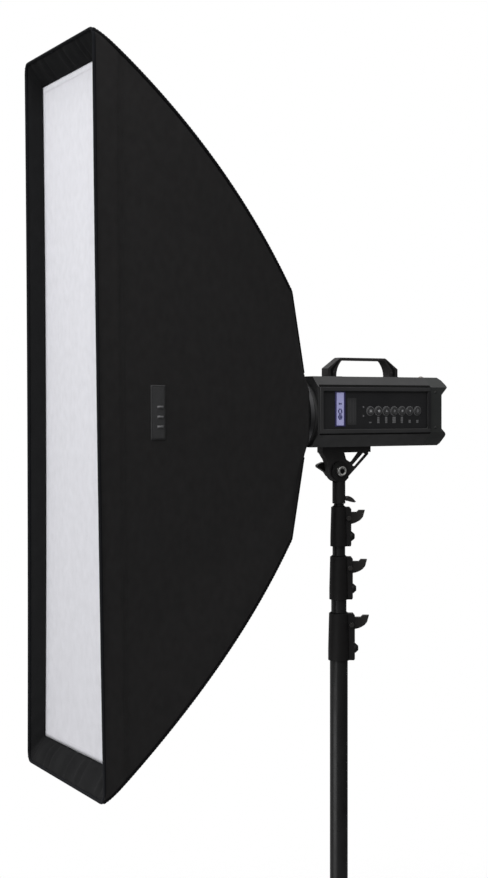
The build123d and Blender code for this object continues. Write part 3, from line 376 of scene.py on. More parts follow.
def brushed(colour, roughness, stretch):
    """Metal with fine lines along one direction."""
    surface = Surface(colour, roughness, Metallic=1.0)
    surface.soften(0.0005)
    lines = surface.noise(420, 2, stretch)
    surface.bump(lines, 0.12, 0.0001)
    surface.drive("Roughness", surface.ramp(lines, roughness - 0.08, roughness + 0.12))
    return surface


def fabric(colour, axes, pitch, gloss=0.5, mottle=0.25, relief=1.0, **sockets):
    """Woven cloth: thread pattern, soft uneven tone."""
    surface = Surface(colour, 0.85, gloss, **sockets)
    surface.weave(axes, pitch, 0.5 * relief)
    surface.bump(surface.noise(260, 3), 0.25 * relief, 0.0004)
    return surface.tint(surface.ramp(surface.noise(75, 6, (1, 1, 0.7)), 0.0, 1.0), scaled(colour, 1 + mottle))


BLACK_CLOTH, LILAC = (0.0159, 0.0153, 0.0155), (0.30, 0.30, 0.52)
FABRICS = {  # colour, axes and pitch of the weave, gloss, mottle, relief
    "cloth_side": (BLACK_CLOTH, "XZ", 0.0009, 0.12, 0.18),
    "cloth_end": (BLACK_CLOTH, "XY", 0.0009, 0.12),
    # darker copy of the black cloth: painted shade on the lip, the back and the ring's sleeve
    "cloth_front": ((0.0054, 0.0055, 0.0059), "YZ", 0.0009, 0.12),
    "diffuser": ((0.80, 0.80, 0.845), "YZ", 0.0007, 0.2, 0.02, 0.4),
    "binding": ((0.0030, 0.0030, 0.0034), "XZ", 0.0016, 0.06),
    "rim_tape": ((0.0052, 0.0056, 0.0068), "XZ", 0.0016, 0.1),
    "webbing": ((0.02, 0.02, 0.021), "XZ", 0.0022),
}
MOULDINGS = {  # colour, roughness, gloss, grain, width of the softened edges
    "shell": ((0.021, 0.021, 0.0215), 0.46, 0.4, 0.22, 0.0011),
    "guard": ((0.0138, 0.0152, 0.0147), 0.50, 0.45, 0.2, 0.0016),
    "panel": ((0.0125, 0.0125, 0.0135), 0.38, 0.22),
    "trim": ((0.0235, 0.0235, 0.0243), 0.42, 0.35, 0.0, 0.0010),
    "key": ((0.031, 0.031, 0.032), 0.42, 0.25),
    "window": ((0.027, 0.027, 0.028), 0.35, 0.25),
    "handle": ((0.0155, 0.0140, 0.0143), 0.50, 0.28, 0.25, 0.0012),
    "stand": ((0.0092, 0.0092, 0.0094), 0.30, 0.24, 0.0, 0.0008),
    "clamp": ((0.0070, 0.0065, 0.0067), 0.50, 0.15, 0.35, 0.0014),
    # bracket is the black casting painted lighter, as light that the fork's shaded web doesn't get; socket is
    # the same black painted darker as shade
    "bracket": ((0.0250, 0.0235, 0.0240), 0.5, 0.22, 0.3, 0.0012),
    "socket": ((0.0098, 0.0094, 0.0095), 0.5, 0.2, 0.3, 0.0012),
    "lever": ((0.0165, 0.0148, 0.0142), 0.38, 0.3, 0.1, 0.0014),
    "rubber": ((0.016, 0.016, 0.016), 0.72, 0.5, 0.4, 0.0016),
    "board": ((0.015, 0.12, 0.05), 0.45),
    "can": ((0.03, 0.06, 0.22), 0.35),
    "inlet": ((0.014, 0.014, 0.014), 0.40),
    "fan": ((0.02, 0.02, 0.02), 0.45),
    "rod": ((0.10, 0.10, 0.10), 0.4),
}
METALS = {  # colour, roughness, stretch of the lines
    "steel": ((0.62, 0.62, 0.60), 0.30, (1, 18, 1)),
    "ring": ((0.12, 0.12, 0.124), 0.38, (16, 1, 1)),
    "adapter": ((0.50, 0.50, 0.51), 0.34, (16, 1, 1)),
    "screw": ((0.055, 0.055, 0.055), 0.36, (4, 4, 1)),
}
PRINTS = {  # colour, roughness
    "mark": ((0.36, 0.36, 0.37), 0.55),
    "dim_mark": ((0.24, 0.24, 0.25), 0.55),
    "faint_mark": ((0.13, 0.13, 0.134), 0.55),
    "window_line": ((0.040, 0.040, 0.042), 0.5),
    "display_mark": ((0.036, 0.036, 0.14), 0.4),
    "display_edge": ((0.032, 0.028, 0.105), 0.35),
}
THREADS = {"thread": ((0.0135, 0.0135, 0.014), 0.8, 0.15), "white_thread": ((0.76, 0.76, 0.80), 0.7)}


def make_materials():
    """Every finish by its name."""
    made = {
        "lining": fabric((0.62, 0.63, 0.65), "XZ", 0.0014, Metallic=0.75),
        "eye": moulded((0.17, 0.14, 0.12), 0.14, Coat_Weight=0.6),
        # near-black finish for painted shade: dark strips, plates and discs put where shadow falls in gaps,
        # grooves, recesses and holes
        "painted_shade": Surface((0.004, 0.004, 0.004), 0.9, 0.05),
        "display": Surface(LILAC, 0.25, Emission_Color=(0.42, 0.42, 0.72, 1), Emission_Strength=0.19),
        "glass": Surface((0.96, 0.97, 0.98), 0.04, Transmission_Weight=0.92, IOR=1.46),
        "frosted": Surface((0.93, 0.92, 0.88), 0.42, Transmission_Weight=0.55, IOR=1.46),
    }
    kinds = ((FABRICS, fabric), (MOULDINGS, moulded), (METALS, brushed), (PRINTS, Surface), (THREADS, Surface))
    for table, kind in kinds:
        made.update({name: kind(*row) for name, row in table.items()})
    made["frosted"].bump(made["frosted"].noise(900, 2), 0.15, 0.0001)
    for name in THREADS:
        made[name].bump(made[name].noise(2400, 1), 0.4, 0.0002)
    for name, (colour, _) in PRINTS.items():
        made[name].tint(made[name].ramp(made[name].noise(600, 2), 0.0, 0.25), scaled(colour, 0.7))
    made["painted_shade"].tint(made["painted_shade"].noise(300), (0.008, 0.008, 0.008))
    glow = made["display"]
    glow.tint(glow.ramp(glow.noise(40, 1, (1, 1, 0.5)), 0.0, 0.5), scaled(LILAC, 1.0, 0.1))
    for name, surface in made.items():
        surface.material.name = name
    return {name: surface.material for name, surface in made.items()}


FINISHED_NODES = {  # patterns for names of CAD nodes; a later row overrides an earlier one
    "stand": "*_tube leg_? brace_?",
    "clamp": "*_clamp leg_collar lower_spider",
    # the fork and the socket get the lighter and darker painted tones of one black
    "bracket": "bracket_fork",
    "socket": "bracket_socket",
    "lever": "*_lever leg_lock_knob ring_lock_screw",
    "rubber": "foot_?",
    "steel": "leg_pins tilt_bolt",
    "shell": "main_housing front_collar rear_panel",
    "guard": "rear_guard",
    "panel": "control_panel",
    "display": "display",
    "key": "button_?",
    "handle": "handle",
    "board": "circuit_board",
    "can": "capacitors",
    "glass": "flash_tube",
    "frosted": "modelling_lamp",
    "eye": "slave_eye",
    "inlet": "mains_inlet power_switch",
    "fan": "fan_rotor",
    "ring": "speedring",
    "adapter": "mount_adapter",
    "rod": "rods",
    "webbing": "corner_pockets",
}


def dress_nodes():
    for finish, patterns in FINISHED_NODES.items():
        for pattern in patterns.split():
            for node in matching(NODES, pattern):
                for place in NODES[node].material_slots:
                    place.material = MATERIAL[finish]


# ======== softbox shape
BOX_LOW, BOX_HIGH, BOX_MIDDLE = span("outer_cover")
AXIS_Z = BOX_MIDDLE.z
BOX_DEPTH = BOX_HIGH.x - BOX_LOW.x
FRONT_Y = (BOX_HIGH.y - BOX_LOW.y) / 2
FRONT_Z = (BOX_HIGH.z - BOX_LOW.z) / 2
KINK_DEPTH, KINK_Z, ROD_BOW = 0.426, 0.232, 0.030
REAR_Z, REAR_Y, REAR_SIDE_Y = 0.080, 0.058, 0.078
SEAM_LENGTH, END_LENGTH = 0.754, 0.756  # along a corner seam, and along an end panel's middle
SIDE_DRAW = 0.0015
CLOTH, THIN_CLOTH = 0.0012, 0.0008
FRONT_HEM = 0.050
EDGE_ROUND, CORNER_ROUND = 0.0045, 0.016
RIM_Y, RIM_Z = FRONT_Y - 0.0022, FRONT_Z - 0.0022


def at(x, y, z):
    """Point whose height counts from the lamp's axis."""
    return Vector((x, y, AXIS_Z + z))


def in_box(depth, y, z):
    """The same, with its depth behind the box's front for x."""
    return at(BOX_LOW.x + depth, y, z)


def edge_line(along):
    """Depth and half height on the rods' edge; along is 0 at the front, 1 at the rear."""
    chord = Vector((KINK_DEPTH, KINK_Z - FRONT_Z))
    rear = Vector((BOX_DEPTH - KINK_DEPTH, REAR_Z - KINK_Z))
    kink = chord.length / (chord.length + rear.length)
    if along > kink:
        share = (along - kink) / (1 - kink)
        return KINK_DEPTH + rear.x * share, KINK_Z + rear.y * share
    radius = (chord.length**2 / 4 + ROD_BOW**2) / (2 * ROD_BOW)
    half_angle = asin(chord.length / 2 / radius)
    outward = Vector((-chord.y, chord.x)).normalized()
    centre = Vector((0, FRONT_Z)) + chord / 2 - outward * (radius - ROD_BOW)
    turn = half_angle * (1 - 2 * along / kink)
    place = centre + (outward * cos(turn) - chord.normalized() * sin(turn)) * radius
    return place.x, place.y


def side_half_width(depth):
    front = FRONT_Y - SIDE_DRAW
    return front + (REAR_SIDE_Y - front) * depth / BOX_DEPTH


def section_edge(along):
    """Depth, half height, half width and corner radius at a place along the rods."""
    depth, high = edge_line(along)
    share = (high - REAR_Z) / (FRONT_Z - REAR_Z)
    wide = REAR_Y + (FRONT_Y - REAR_Y) * share
    return depth, high, wide, EDGE_ROUND + (CORNER_ROUND - EDGE_ROUND) * exp(-depth / 0.014)


def panel_point(is_side, along, share, arc):
    """Depth, run between the seams, and distances from the axis and from the seam.

    share is -1 to 1 over a panel's straight part, arc -1 to 1 over the rounded corner beyond.
    """
    depth, high, edge, radius = section_edge(along)
    run, out = (high, edge) if is_side else (edge, high)
    straight = run - radius
    if arc:
        turn = abs(arc) * pi / 4
        run = copysign(straight + radius * sin(turn), arc)
        return depth, run, out - radius + radius * cos(turn), 0.0
    if is_side:
        out += (side_half_width(depth) - edge) * smooth((1 - abs(share)) / 0.45)
    else:
        out -= 0.0065 * sin(pi * min(1.0, depth / KINK_DEPTH)) * (1 - share * share)
    return depth, share * straight, out, (1 - abs(share)) * straight


def on_panel(is_side, sign, depth, run, out):
    return in_box(depth, sign * out, run) if is_side else in_box(depth, run, sign * out)


def cloth_relief(depth, across, height, from_seam, along_seam):
    """How far the cloth stands off its smooth shape: waves, seam puckers, front hem."""
    front = smooth((depth - 0.001) / 0.014)
    slow = 0.0010 * waver(depth * 7, across * 5, height * 3.2)
    fine = 0.00035 * waver(depth * 31, across * 30, height * 17 + 5)
    wander = 2.4 * waver(along_seam * 11, 3, 7)
    pucker = 0.0003 * exp(-from_seam / 0.018) * sin(CIRCLE * along_seam / 0.017 + wander)
    near_hem = exp(-abs(depth - FRONT_HEM) / 0.007)
    hem_wave = 0.0003 * near_hem * sin(CIRCLE * height / 0.013 + 2 * wander)
    groove = -0.0007 * exp(-(((depth - FRONT_HEM) / 0.0013) ** 2))
    doubled = 0.0004 * smooth((FRONT_HEM - depth) / 0.002) * front
    settle = smooth(from_seam / 0.004)
    return ((slow + fine) * smooth(from_seam / 0.03) + pucker * settle) * front + hem_wave + groove + doubled


def panel_rows():
    """Places along the rods: even steps, closer at the front edge and behind its hem."""
    fine = [0.0, 0.0012, 0.003] + [FRONT_HEM * 1.45 + step * 0.0009 for step in range(-5, 6)]
    even = [0.0075 * step for step in range(1, int(SEAM_LENGTH / 0.0075))]
    places = fine + [step for step in even if all(abs(step - other) > 0.002 for other in fine)]
    return sorted(place / SEAM_LENGTH for place in places) + [1.0]


def panel_columns(count):
    """Places across a panel, as (share, arc) of panel_point."""
    corner = (1.0, 0.75, 0.5, 0.25)
    straight = [(share, 0) for share in steps(-1, 1, count)]
    return [(0, -arc) for arc in corner] + straight + [(0, arc) for arc in corner[::-1]]


def box_panel(name, kind, sign, count):
    """A sewn panel on one side of the axis, and the points of its rear edge."""
    is_side = kind == "side"

    def cloth(along, place):
        depth, run, out, from_seam = panel_point(is_side, along, *place)
        spot = (out, run) if is_side else (run * 2, 3 + out * 0.2)
        out += cloth_relief(depth, *spot, from_seam, along * SEAM_LENGTH)
        return on_panel(is_side, sign, depth, run, out)

    columns = panel_columns(count)
    part = lattice(panel_rows(), columns, cloth, flip=(sign > 0) != is_side)
    piece = sewn(name, [part], "cover_fabric", f"cloth_{kind}", "lining", thick=CLOTH)
    return piece, part[0][-len(columns) :]


def make_cover():
    """Four panels, with the back that is gathered from their rear edges."""
    panels = ("side_panel_near", "side", -1, 150), ("side_panel_far", "side", 1, 150)
    panels += ("top_panel", "end", 1, 44), ("bottom_panel", "end", -1, 44)
    pieces, edges = zip(*(box_panel(*panel) for panel in panels))
    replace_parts(pieces[0], "outer_cover")
    make_bindings()
    make_hem_stitches()
    make_back(edges)
    make_patch()


def make_bindings():
    """Tape over each corner seam, with a row of stitches each side."""
    tape, threads = [], []
    half = [(0.0011, 0.0), (0.0009, 0.0022), (-0.0004, 0.0046), (-0.0020, 0.0052)]
    section = half + [(a, -b) for a, b in half[:0:-1]]
    for side, end in CORNERS:
        path = []
        for depth, high, edge, radius in map(section_edge, steps(0, 1, 150)):
            reach = (radius + 0.0004) * sqrt(0.5) - radius
            path.append(in_box(depth, side * (edge + reach), end * (high + reach)))
        frames = path_frames(path, (0, side, end))
        tape.append(swept(path, frames, section))
        for turn in SIGNS:
            row = [place + two * (turn * 0.0030) + one * 0.0006 for place, (one, two) in zip(path, frames)]
            threads.extend(stitches(row, [one for one, _ in frames], 0.006, 0.0042, 0.00026))
    sewn("seam_tapes", tape, "webbing_black", "binding")
    sewn("seam_threads", threads, "webbing_black", "thread")


def along_at_depth(depth):
    """Place along the rods at a depth on their bowed stretch."""
    low, high = 0.0, 0.8
    for _ in range(30):
        middle = (low + high) / 2
        low, high = (middle, high) if edge_line(middle)[0] < depth else (low, middle)
    return low


def make_hem_stitches():
    """Two rows of thread along the front hem's seam."""
    threads = []
    for depth, sign, is_side in product((FRONT_HEM - 0.0045, FRONT_HEM + 0.0045), SIGNS, (True, False)):
        along = along_at_depth(depth)
        line = [panel_point(is_side, along, share, 0) for share in steps(-0.995, 0.995, 160)]
        row = [on_panel(is_side, sign, depth, run, out + 0.0007) for _, run, out, _ in line]
        threads.extend(stitches(row, (Y if is_side else UP) * sign, 0.0065, 0.0045, 0.0003))
    sewn("hem_threads", threads, "cover_fabric", "thread")


def make_back(edges):
    """Cloth gathered from the panels' rear edges to the ring, and the ring's sleeve."""
    low, high, _ = span("rear_cuff")
    hole = (high.y - low.y) / 2 + 0.0006

    def turn_of(place):
        return atan2(place.z - AXIS_Z, place.y)

    def gathered(share, place):
        turn, reach = turn_of(place), hypot(place.y, place.z - AXIS_Z)
        gather = 0.0011 * sin(52 * turn + 2.2 * sin(5 * turn)) * smooth(share / 0.6)
        radius = hole + (reach - hole) * (1 - share)
        return at(place.x + 0.0022 * sin(pi * share) + gather, radius * cos(turn), radius * sin(turn))

    def sleeve(share, turn):
        radius = hole - 0.0012 + 0.00055 * sin(40 * turn + 1.5 * sin(7 * turn)) * sin(pi * share)
        x = low.x - 0.0008 + (high.x - low.x + 0.0021) * share
        return at(x, radius * cos(turn), radius * sin(turn))

    loop = sorted((place for edge in edges for place in edge[1:]), key=turn_of)
    part = lattice(steps(0, 1, 8), loop, gathered, closed=True)
    back = sewn("rear_gather", [part], "cover_fabric", "cloth_front", "lining", thick=CLOTH)
    part = lattice(steps(0, 1, 6), turns(240), sleeve, closed=True)
    cuff = sewn("ring_sleeve", [part], "cover_fabric", "cloth_front", "cloth_front", thick=THIN_CLOTH)
    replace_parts(cuff, "rear_cuff")


def make_patch():
    """Plain patch with three pale stripes on the near side panel."""
    middle, half, inset = -0.4653, 0.0155, 0.0018
    low, high = AXIS_Z - 0.041, AXIS_Z + 0.053
    rows, columns = steps(low, high, 32), steps(middle - half, middle + half, 12)

    def place(x, z, lift=0.0017):
        return Vector((x, -(side_half_width(x - BOX_LOW.x) + lift), z))

    def cloth(z, x):
        return place(x, z, 0.0004 if z in (rows[0], rows[-1]) or x in (columns[0], columns[-1]) else 0.0016)

    sewn("side_patch", [lattice(rows, columns, cloth)], "webbing_black", "webbing", thick=THIN_CLOTH)
    levels = [low + (high - low) * share for share in (0.24, 0.42, 0.60)]
    stripes = [block(place(middle, level), (2 * half * 0.62, 0.0006, 0.0042)) for level in levels]
    sewn("patch_stripes", stripes, "diffuser_fabric", "faint_mark")
    left, right, bottom, top = middle - half + inset, middle + half - inset, low + inset, high - inset
    loop = [place(x, z) for x, z in product((left, right), (bottom, top))]
    loop = [loop[corner] for corner in (0, 2, 3, 1, 0)]
    sewn("patch_threads", stitches(loop, -Y, 0.0032, 0.0023, 0.0003), "webbing_black", "thread")


# ======== softbox front
LIP_LOW, LIP_HIGH, _ = span("front_lip")
DIFFUSER_LOW, DIFFUSER_HIGH, _ = span("front_diffuser")
LIP_INNER = ((DIFFUSER_HIGH.y - DIFFUSER_LOW.y) / 2, (DIFFUSER_HIGH.z - DIFFUSER_LOW.z) / 2)


def rounded_loop(half_width, half_height, radius, step):
    """Rounded rectangle, with even steps on its straight sides."""
    points, wide, tall = [], half_width - radius, half_height - radius
    for corner, (sy, sz) in enumerate(((1, 1), (-1, 1), (-1, -1), (1, -1))):
        for turn in steps(pi / 2 * corner, pi / 2 * (corner + 1), 6):
            points.append((sy * wide + radius * cos(turn), sz * tall + radius * sin(turn)))
        upright = corner % 2
        for share in steps(1, -1, int(2 * (tall if upright else wide) / step))[1:-1]:
            y, z = (half_width, tall * share) if upright else (wide * share, half_height)
            points.append((sy * y, sz * z))
    return points


def lip_point(share, rim_place):
    """Point of the lip, from its rim to the diffuser, with loose folds that lie forward."""

    def drawn(value, rim, inner):
        straight = max(-1.0, min(1.0, value / (rim - CORNER_ROUND)))
        return value + ((0.2 * value / rim + 0.8 * straight) * inner - value) * share

    y, z = rim_place
    way_y, way_z = copysign(1, y), copysign(1, z)
    x = LIP_LOW.x + (LIP_HIGH.x - LIP_LOW.x) * share
    if abs(z) / FRONT_Z > abs(y) / FRONT_Y:
        fold = y / 0.040 + 0.9 * waver(y * 24, 2 + way_z, 0) + 0.15 * share
        size = 0.0036 * max(0.25, 0.7 + waver(y * 15, 9, z)) * smooth((FRONT_Y - abs(y)) / 0.030)
        slope = Vector((-0.04, 0, -0.03 * way_z))
    else:
        fold = z / 0.085 + 1.1 * waver(z * 7, 5 + way_y, 0)
        size = 0.0008 * max(0.15, 0.6 + waver(z * 6, 4, y)) * smooth((FRONT_Z - abs(z)) / 0.060)
        slope = Vector((-0.014, -0.03 * way_y, 0))
    loose = sin(pi * share) ** 0.8 if 0 < share < 1 else 0.0
    place = at(x, drawn(y, RIM_Y, LIP_INNER[0]), drawn(z, RIM_Z, LIP_INNER[1]))
    return place + slope.normalized() * (size * (1 + sin(CIRCLE * fold)) * loose)


def make_front():
    """Front lip, the binding on its rim and its corner seams."""
    rim = rounded_loop(RIM_Y, RIM_Z, CORNER_ROUND, 0.004)
    part = lattice(steps(0, 1, 14), rim, lip_point, closed=True, flip=True)
    lip = sewn("lip_cloth", [part], "cover_fabric", "cloth_front", "lining", thick=CLOTH)
    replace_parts(lip, "front_lip")

    rim = rounded_loop(RIM_Y, RIM_Z, CORNER_ROUND, 0.008)
    path = [in_box(0.0006, y, z) for y, z in rim]
    ahead = [(path[(index + 1) % len(path)] - path[index - 1]).normalized() for index in range(len(path))]
    frames = [(-X, way.cross(-X).normalized()) for way in ahead]
    ring = swept(path, frames, ring_section(0.0030, 12), closed=True)
    sewn("front_binding", [ring], "webbing_black", "rim_tape")

    seams = []
    for sy, sz in CORNERS:
        start = at(LIP_LOW.x, sy * (FRONT_Y - 0.0048), sz * (FRONT_Z - 0.0048))
        end = at(LIP_HIGH.x - 0.0005, sy * LIP_INNER[0], sz * LIP_INNER[1])
        path = [start.lerp(end, share) for share in steps(0, 1, 12)]
        frames = path_frames(path, (-1, -0.5 * sy, -0.3 * sz))
        seams.append(swept(path, frames, [(0.0010, 0), (0.0002, 0.0016), (-0.0006, 0), (0.0002, -0.0016)]))
    sewn("lip_seams", seams, "webbing_black", "binding")


def arch(y, z, half_y, half_z):
    """1 in the middle of a sheet, 0 at its edges."""
    return cos(pi * y / half_y / 2) * cos(pi * z / half_z / 2)


def stretched_sheet(name, node, half_y, half_z, x, relief, step):
    """White sheet that stands for a node; relief moves its points to -X."""
    rows = steps(-half_z, half_z, int(2 * half_z / step))
    columns = steps(-half_y, half_y, int(2 * half_y / step))
    part = lattice(rows, columns, lambda z, y: at(x - relief(y, z), y, z), flip=True)
    cloth = sewn(name, [part], "diffuser_fabric", "diffuser", thick=THIN_CLOTH)
    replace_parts(cloth, node)


def make_diffuser():
    """Front diffuser with its slack, and the stitches of its hem."""
    half_y, half_z = LIP_INNER[0] - 0.0008, LIP_INNER[1] - 0.0008

    def billow(y, z):
        from_edge = min(half_y - abs(y), half_z - abs(z))
        drape = 0.0009 * waver(y * 16, z * 1.6, 1) * smooth(from_edge / 0.05)
        wave = sin(CIRCLE * z / 0.046 + 3 * waver(z * 4, y, 8))
        edge_wave = 0.0006 * exp(-from_edge / 0.012) * wave * smooth(from_edge / 0.003)
        return 0.0030 * arch(y, z, half_y, half_z) + drape + edge_wave

    x = DIFFUSER_LOW.x
    stretched_sheet("diffuser_cloth", "front_diffuser", half_y, half_z, x, billow, 0.006)
    hem_y, hem_z, face, threads = half_y - 0.011, half_z - 0.011, x - 0.0004, []
    for sign in SIGNS:
        side_row = [at(face - billow(hem_y, z), sign * hem_y, z) for z in steps(-hem_z, hem_z, 200)]
        end_row = [at(face - billow(y, hem_z), y, sign * hem_z) for y in steps(-hem_y, hem_y, 60)]
        for row in (side_row, end_row):
            threads.extend(stitches(row, -X, 0.0055, 0.0038, 0.0003))
    sewn("diffuser_threads", threads, "diffuser_fabric", "white_thread")


def make_baffle():
    """Inner baffle and the four straps that hold it to the rods."""
    low, high, _ = span("inner_baffle")
    half_y, half_z, straps = 0.104, 0.440, []

    def sag(y, z):
        return 0.004 * arch(y, z, half_y, half_z)

    stretched_sheet("baffle_cloth", "inner_baffle", half_y, half_z, low.x, sag, 0.008)
    reach_y, reach_z = (high.y - low.y) / 2, (high.z - low.z) / 2
    for sy, sz in CORNERS:
        inner = at(low.x, sy * (half_y - 0.010), sz * (half_z - 0.010))
        outer = at(low.x, sy * (reach_y - 0.006), sz * (reach_z - 0.007))
        across = (outer - inner).normalized().cross(X) * 0.009

        def strap_point(share, side):
            return inner.lerp(outer, share) + across * (side * (1 - 0.35 * sin(pi * share)))

        straps.append(lattice(steps(0, 1, 8), (-1, 0, 1), strap_point, flip=sy * sz > 0))
    sewn("baffle_straps", straps, "webbing_black", "webbing", thick=0.0010)


# ======== flash head trim
_, HEAD_HIGH, _ = span("main_housing")
PANEL_LOW, PANEL_HIGH, _ = span("control_panel")
PANEL_FACE = PANEL_LOW.y
DISPLAY_LOW, DISPLAY_HIGH, _ = span("display")
BUTTONS = 7
RAIL_BAND, BAR_WIDTH, FRAME_PROUD = 0.0086, 0.0072, 0.0019
PRINT, MARK = 0.0001, 0.0002  # heights of flat print and of raised marks


def plate(outline, face, depth):
    """Plate square to Y: an outline of (x, height from the axis) with a depth."""
    points = [at(x, y, z) for y in (face, face + depth) for x, z in outline]
    return tube(points, len(outline))


def bevel_shadow_line(side, height, tall, start, end):
    """Thin dark strip along X on the head's bevel: a painted shadow line at the bevel's edge."""
    way = copysign(1, tall)
    foot, tip = (side * HEAD_HIGH.y, height), (side * (HEAD_HIGH.y - abs(tall)), height + tall)
    section = [
        (y + side * out * 0.7, z + way * out * 0.7)
        for (y, z), out in ((foot, 0.0004), (tip, 0.0004), (tip, -0.0008), (foot, -0.0008))
    ]
    return tube([at(x, y, z) for x in (start, end) for y, z in section], 4)


def bar(x, z, wide, tall, face, height, turn=0.0):
    """Small raised bar on a plane square to Y."""
    return block(at(x, face, z), (wide, height, tall), Matrix.Rotation(turn, 3, "Y"))


def make_panel_frame():
    """Moulded frame round the panel, and its twin on the far side, with painted shadow lines along the bevels.
    """
    low, high = PANEL_LOW.z - AXIS_Z, PANEL_HIGH.z - AXIS_Z
    start, inside, end = PANEL_LOW.x - BAR_WIDTH - 0.0003, PANEL_LOW.x + 0.0006, HEAD_HIGH.x + 0.0004
    bottom, top, gap = low - RAIL_BAND, high + RAIL_BAND, 0.0003
    outline = [(start, bottom), (end, bottom), (end, low - gap), (inside, low - gap)]
    outline += [(inside, high + gap), (end, high + gap), (end, top), (start, top)]
    for side, label in ((-1, "near"), (1, "far")):
        face = side * (HEAD_HIGH.y - 0.0015 + FRAME_PROUD)
        parts = [plate(outline, face, -side * 0.0037)]
        rigid(f"panel_frame_{label}", parts, "head_shell", "trim", edge=0.0013, segments=3)
        # Dark strips along the top and bottom bevels paint the shadow lines at their edges.
        lines = [bevel_shadow_line(side, *line, start, end) for line in ((top, 0.0040), (bottom, -0.0022))]
        rigid(f"frame_shadow_lines_{label}", lines, "head_shell", "painted_shade")
        filler = at((PANEL_HIGH.x + end) / 2, side * (HEAD_HIGH.y + 0.0001), (low + high) / 2)
        ends = [block(filler, (end - PANEL_HIGH.x + 0.0010, 0.0010, high - low + 0.0006))]
        rigid(f"panel_end_{label}", ends, "panel_black", "panel")


def digit(crossed, x, z, face):
    """Seven-segment 8, or else 0, with its top towards -X."""
    half, shift, thick = 0.0034, 0.0040, 0.0027
    bars = [(place, 0, thick, 2 * shift - thick) for place in (-half, 0.0, half) if crossed or place]
    bars += [(way * half / 2, side * shift, half - thick * 0.4, thick) for way, side in CORNERS]
    return [bar(x + along, z + across, wide, tall, face, PRINT) for along, across, wide, tall in bars]


def make_display():
    """Dark edge round the lit display, two sideways digits and small marks."""
    face, low, high = DISPLAY_LOW.y - PRINT, DISPLAY_LOW, DISPLAY_HIGH
    x, z = (low.x + high.x) / 2, (low.z + high.z) / 2 - AXIS_Z
    wide, tall, edge, rim = high.x - low.x, high.z - low.z, 0.0032, 0.0022
    border = [bar(x + side * wide / 2, z, edge, tall + rim, face, 0.0008) for side in SIGNS]
    border += [bar(x, z + side * tall / 2, wide - edge, rim, face, 0.0008) for side in SIGNS]
    rigid("display_border", border, "panel_black", "display_edge", edge=0.0002)
    marks = digit(True, x, -0.0040, face) + digit(False, x, 0.0070, face)
    marks += [bar(x + shift, 0.0215, 0.0022, 0.0036, face, PRINT) for shift in (-0.0020, 0.0020)]
    marks.append(bar(x, 0.0215, 0.0062, 0.0010, face, PRINT))
    rigid("display_marks", marks, "display_lilac", "display_mark")


def key_icon(number, x, z, face):
    """Small sign on a key: lamp, horn, up, bars, square, down, switch."""
    centre = at(x, face, z)

    def mark(right, up, wide, tall, turn=0.0):
        return bar(x + right, z + up, wide, tall, face, MARK, turn)

    def shape(*corners):
        return plate([(x + right, z + up) for right, up in corners], face - PRINT, MARK)

    if number == 1:
        rays = [mark(0.0033 * cos(turn), 0.0033 * sin(turn), 0.0014, 0.0005, -turn) for turn in turns(8)]
        return [disc(centre, -Y, 0.0019, PRINT)] + rays
    if number == 2:
        horn = shape((-0.0020, -0.0010), (0.0018, -0.0030), (0.0018, 0.0030), (-0.0020, 0.0010))
        return [horn, mark(0.0032, 0.0, 0.0006, 0.0036)]
    if number in (3, 6):
        way = 1 if number == 3 else -1
        return [shape((0.0, way * 0.0028), (-0.0026, -way * 0.0018), (0.0026, -way * 0.0018))]
    if number == 4:
        return [mark(shift, 0.0, 0.0007, 0.0044) for shift in (-0.0014, 0.0, 0.0014)]
    if number == 5:
        return [mark(0.0, 0.0, 0.0040, 0.0040)]
    return [washer(centre, -Y, 0.0018, 0.0025, PRINT), mark(0.0, 0.0026, 0.0006, 0.0024)]


def make_panel_print():
    """The keys' rings, signs and marks, two indicator dots and the column of lines."""
    rings, marks = [], []
    label_sizes = ((1, 2), (4, 2), (4, 2), (4, 3), (4, 2), (2, 2), (2, 2))  # dashes and columns under each key
    for number, (dashes, columns) in zip(range(1, BUTTONS + 1), label_sizes):
        low, _, middle = span(f"button_{number}")
        x, z = middle.x, middle.z - AXIS_Z
        rings.append(washer(at(x, PANEL_FACE, z), -Y, 0.0081, 0.0093, 0.0003))
        body, slot = f"button_{number}_key", "button_black"
        tone = "mark" if number < 3 else "dim_mark"
        rigid(f"key_sign_{number}", key_icon(number, x, z, low.y + 0.00002), slot, tone, body)
        rim = washer(at(x, low.y + 0.0001, z), -Y, 0.0058, 0.0067, 0.0002)
        rigid(f"key_rim_{number}", [rim], slot, "key", body)
        for column, dash in product(range(columns), range(dashes)):
            across = (column - (columns - 1) / 2) * 0.0026
            marks.append(bar(x + across, z - 0.0222 + 0.0031 * dash, 0.0024, 0.0026, PANEL_FACE, MARK))
    marks += [disc(at(0.0142, PANEL_FACE, z), -Y, 0.0018, MARK, 20) for z in (0.0151, -0.0022)]
    rigid("key_rings", rings, "panel_black", "faint_mark")
    rigid("panel_marks", marks, "panel_black", "faint_mark")
    x, z, face = -0.0125, 0.0065, PANEL_FACE - 0.0002
    window = [(x + a, z + b) for a, b in rounded_loop(0.0103, 0.0256, 0.002, 0.004)]
    rigid("panel_window", [plate(window, face, 0.0004)], "panel_black", "window", edge=0.0001)
    lines = ((-0.0070, 0.040), (-0.0035, 0.044), (0.0, 0.036), (0.0035, 0.042), (0.0070, 0.038))
    lines = [bar(x + shift, z, 0.0010, tall, face, MARK) for shift, tall in lines]
    rigid("window_lines", lines, "panel_black", "window_line")


def screw_head(centre, axis, radius):
    """Domed screw head with a ring round its recess."""
    profile = [(-0.0006, radius), (0.0003, radius), (0.0009, radius * 0.75), (0.0011, radius * 0.42)]
    return lathe(profile + [(0.0001, radius * 0.36), (0.0, 0.0)], centre, axis, 24)


